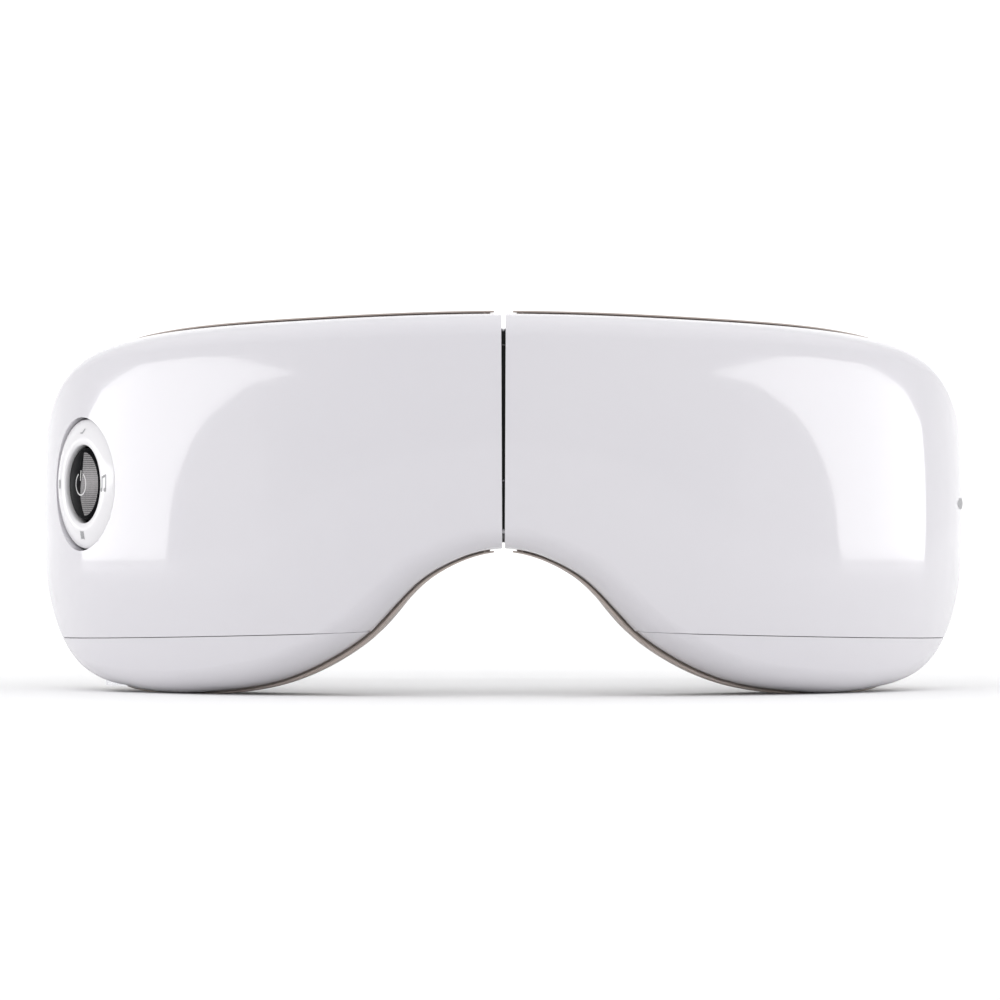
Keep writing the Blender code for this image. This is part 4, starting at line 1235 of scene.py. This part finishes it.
def make_harness():
    """The ribbed sleeve round the air hose and the wires behind the hinge."""
    reach = 18.0
    rows = []
    for k in range(145):
        x = -reach + 2 * reach * k / 144
        near = min(abs(x) / 6.0, 1.0)
        depth = 13.0 - 0.95 * near * near * (3.0 - 2.0 * near) + 0.4 * max(0.0, (abs(x) - 8.0) / 10.0)
        rib = 0.92 + 0.16 * (0.5 + 0.5 * math.cos(2 * math.pi * x)) if abs(x) < 13.0 else 0.98
        centre = Vector((x, FRONT_Y + depth, BRIDGE_Z))
        row = []
        for m in range(16):
            turn = 2 * math.pi * m / 16
            row.append((centre + Vector((0.0, math.cos(turn), math.sin(turn))) * rib) * MM)
        rows.append(row)
    bm = surface_of(rows, close_columns=True)
    cap_ends(bm)
    sleeve = piece("ribbed_bridge_sleeve", bm, SILICONE, 50.0)
    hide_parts("bridge_harness")
    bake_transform(sleeve)


# Finishes of the frame's own parts

NODE_FINISHES = (
    ("hinge_leaf", BLACK), ("hinge_pin", STEEL), ("hinge_screw", STEEL), ("body_screw", STEEL),
    ("main_board", BOARD), ("button_board", BOARD), ("charging_socket", STEEL), ("battery", POUCH),
    ("air_pump", STEEL), ("solenoid_valve", STEEL), ("air_hose", SILICONE), ("airbag", SILICONE),
    ("heating_film", FILM), ("shaker_motor", STEEL), ("shaker_weight", STEEL), ("speaker", CONE),
    ("rocker_gimbal", GREY), ("panel_seat", BLACK),
)


def finish_nodes():
    """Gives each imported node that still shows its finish."""
    for name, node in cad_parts.items():
        for start, look in NODE_FINISHES:
            if name.startswith(start):
                node.data.materials.clear()
                node.data.materials.append(look)


# Studio


def area_light(name, where, aim, size, power):
    data = bpy.data.lights.new(name, "AREA")
    data.shape = "RECTANGLE"
    data.size, data.size_y = size
    data.energy = power
    obj = bpy.data.objects.new(name, data)
    obj.location = where
    obj.rotation_euler = (Vector(aim) - Vector(where)).to_track_quat("-Z", "Y").to_euler()
    bpy.context.scene.collection.objects.link(obj)


def make_studio():
    """The camera in front, an even pale sky, a sweep and the two side softboxes."""
    scene = bpy.context.scene
    scene.view_settings.view_transform = "Standard"
    camera = bpy.data.cameras.new("front_camera")
    camera.lens = LENS_MM
    camera.sensor_width = 36.0
    camera.clip_end = 20.0
    holder = bpy.data.objects.new("front_camera", camera)
    holder.location = CAMERA_PLACE
    holder.rotation_euler = (math.pi / 2, 0.0, 0.0)
    scene.collection.objects.link(holder)
    scene.camera = holder

    world = bpy.data.worlds.new("studio")
    world.use_nodes = True
    sky = Wiring(world.node_tree, "Background")
    way = sky.new("TexCoord").outputs["Generated"]
    height = sky.spread(sky.wired(sky.new("SeparateXYZ"), {0: way}, "Z"), 0.0, 1.0, 0.0, 0.9)
    sky.feed("Color", sky.blend(height, (0.80, 0.80, 0.81), (1.22, 1.22, 1.23)))
    sky.feed("Strength", 1.0)
    scene.world = world

    def rising(start):
        """A floor line that curves up into a wall."""
        turns = [math.pi / 2 * k / 12 for k in range(13)]
        line = [(start + SWEEP_CURVE * math.sin(t), SWEEP_CURVE * (1.0 - math.cos(t))) for t in turns]
        return [*line, (start + SWEEP_CURVE, SWEEP_TOP)]

    away = [(-3.0, 0.0), *rising(2.6)]
    beside = rising(4.0)
    across = [(-x, z) for x, z in reversed(beside)] + [(0.0, 0.0)] + beside
    rows = [[Vector((x, y, max(z, raised))) for x, raised in across] for y, z in away]
    sweep, look = new_finish("studio_sweep", 0.9)
    tone = look.spread(look.noise(look.coordinates(), 3.0), 0.0, 1.0)
    pale = look.blend(tone, (0.93, 0.93, 0.93), (0.95, 0.95, 0.95))
    look.feed("Base Color", pale)
    bm = surface_of(rows)
    bmesh.ops.recalc_face_normals(bm, faces=bm.faces)
    if sum(face.normal.z for face in bm.faces) < 0:
        bmesh.ops.reverse_faces(bm, faces=bm.faces)
    floor = piece("floor_sweep", bm, sweep, 60.0, tidy=False)

    for side, word in SIDES:
        make_softbox(side, word)
    area_light("backdrop_light", (0.0, 1.9, 1.6), (0.0, 3.1, 0.3), (3.0, 0.8), 12.0)


# Degrees round from the front, and the lower and upper edge of the softbox there in metres.
SOFTBOX_EDGES = [
    (47.7, 0.199, 0.2013), (59.3, 0.1776, 0.2137), (66.0, 0.148, 0.219), (70.0, 0.1294, 0.221),
    (74.3, 0.0997, 0.2215), (78.8, 0.0559, 0.215), (82.0, 0.0371, 0.210), (83.7, 0.008, 0.2078),
    (89.0, 0.008, 0.199), (94.8, 0.0085, 0.189), (100.7, 0.009, 0.175), (110.8, 0.0075, 0.1483),
    (119.0, 0.0065, 0.1071), (119.9, 0.0065, 0.05),
]


def make_softbox(side, word):
    """A curved panel of light at the side of the table, with a slanting front edge."""
    rows = []
    for degrees, low, high in SOFTBOX_EDGES:
        turn = math.radians(degrees)
        x, y = side * SOFTBOX_REACH * math.sin(turn), -SOFTBOX_REACH * math.cos(turn)
        rows.append([Vector((x, y, low + (high - low) * k / 6)) for k in range(7)])
    glow, look = new_finish("softbox_cloth_" + word, 0.8)
    spots = look.noise(look.coordinates(), 2.0)
    cloth = look.blend(look.spread(spots, 0.0, 1.0), (0.97, 0.97, 0.97), (1.0, 1.0, 1.0))
    look.feed("Emission Color", cloth)
    look.feed("Emission Strength", SOFTBOX_STRENGTH)
    look.feed("Base Color", (0.0, 0.0, 0.0))
    panel = piece("softbox_" + word, surface_of(rows), glow, 60.0, tidy=False)
    panel.visible_camera = False


# Assembly


def main():
    make_studio()
    for side, word in SIDES:
        make_shells(side, word)
        make_trim(side, word)
        make_frame(side, word)
        make_face_pad(side, word)
        make_stitches(side, word)
        make_lining(side, word)
        make_eye_pad(side, word)
        make_lug(side, word)
    make_panel()
    make_temple_mark()
    make_strap()
    make_slider()
    make_harness()
    finish_nodes()


main()
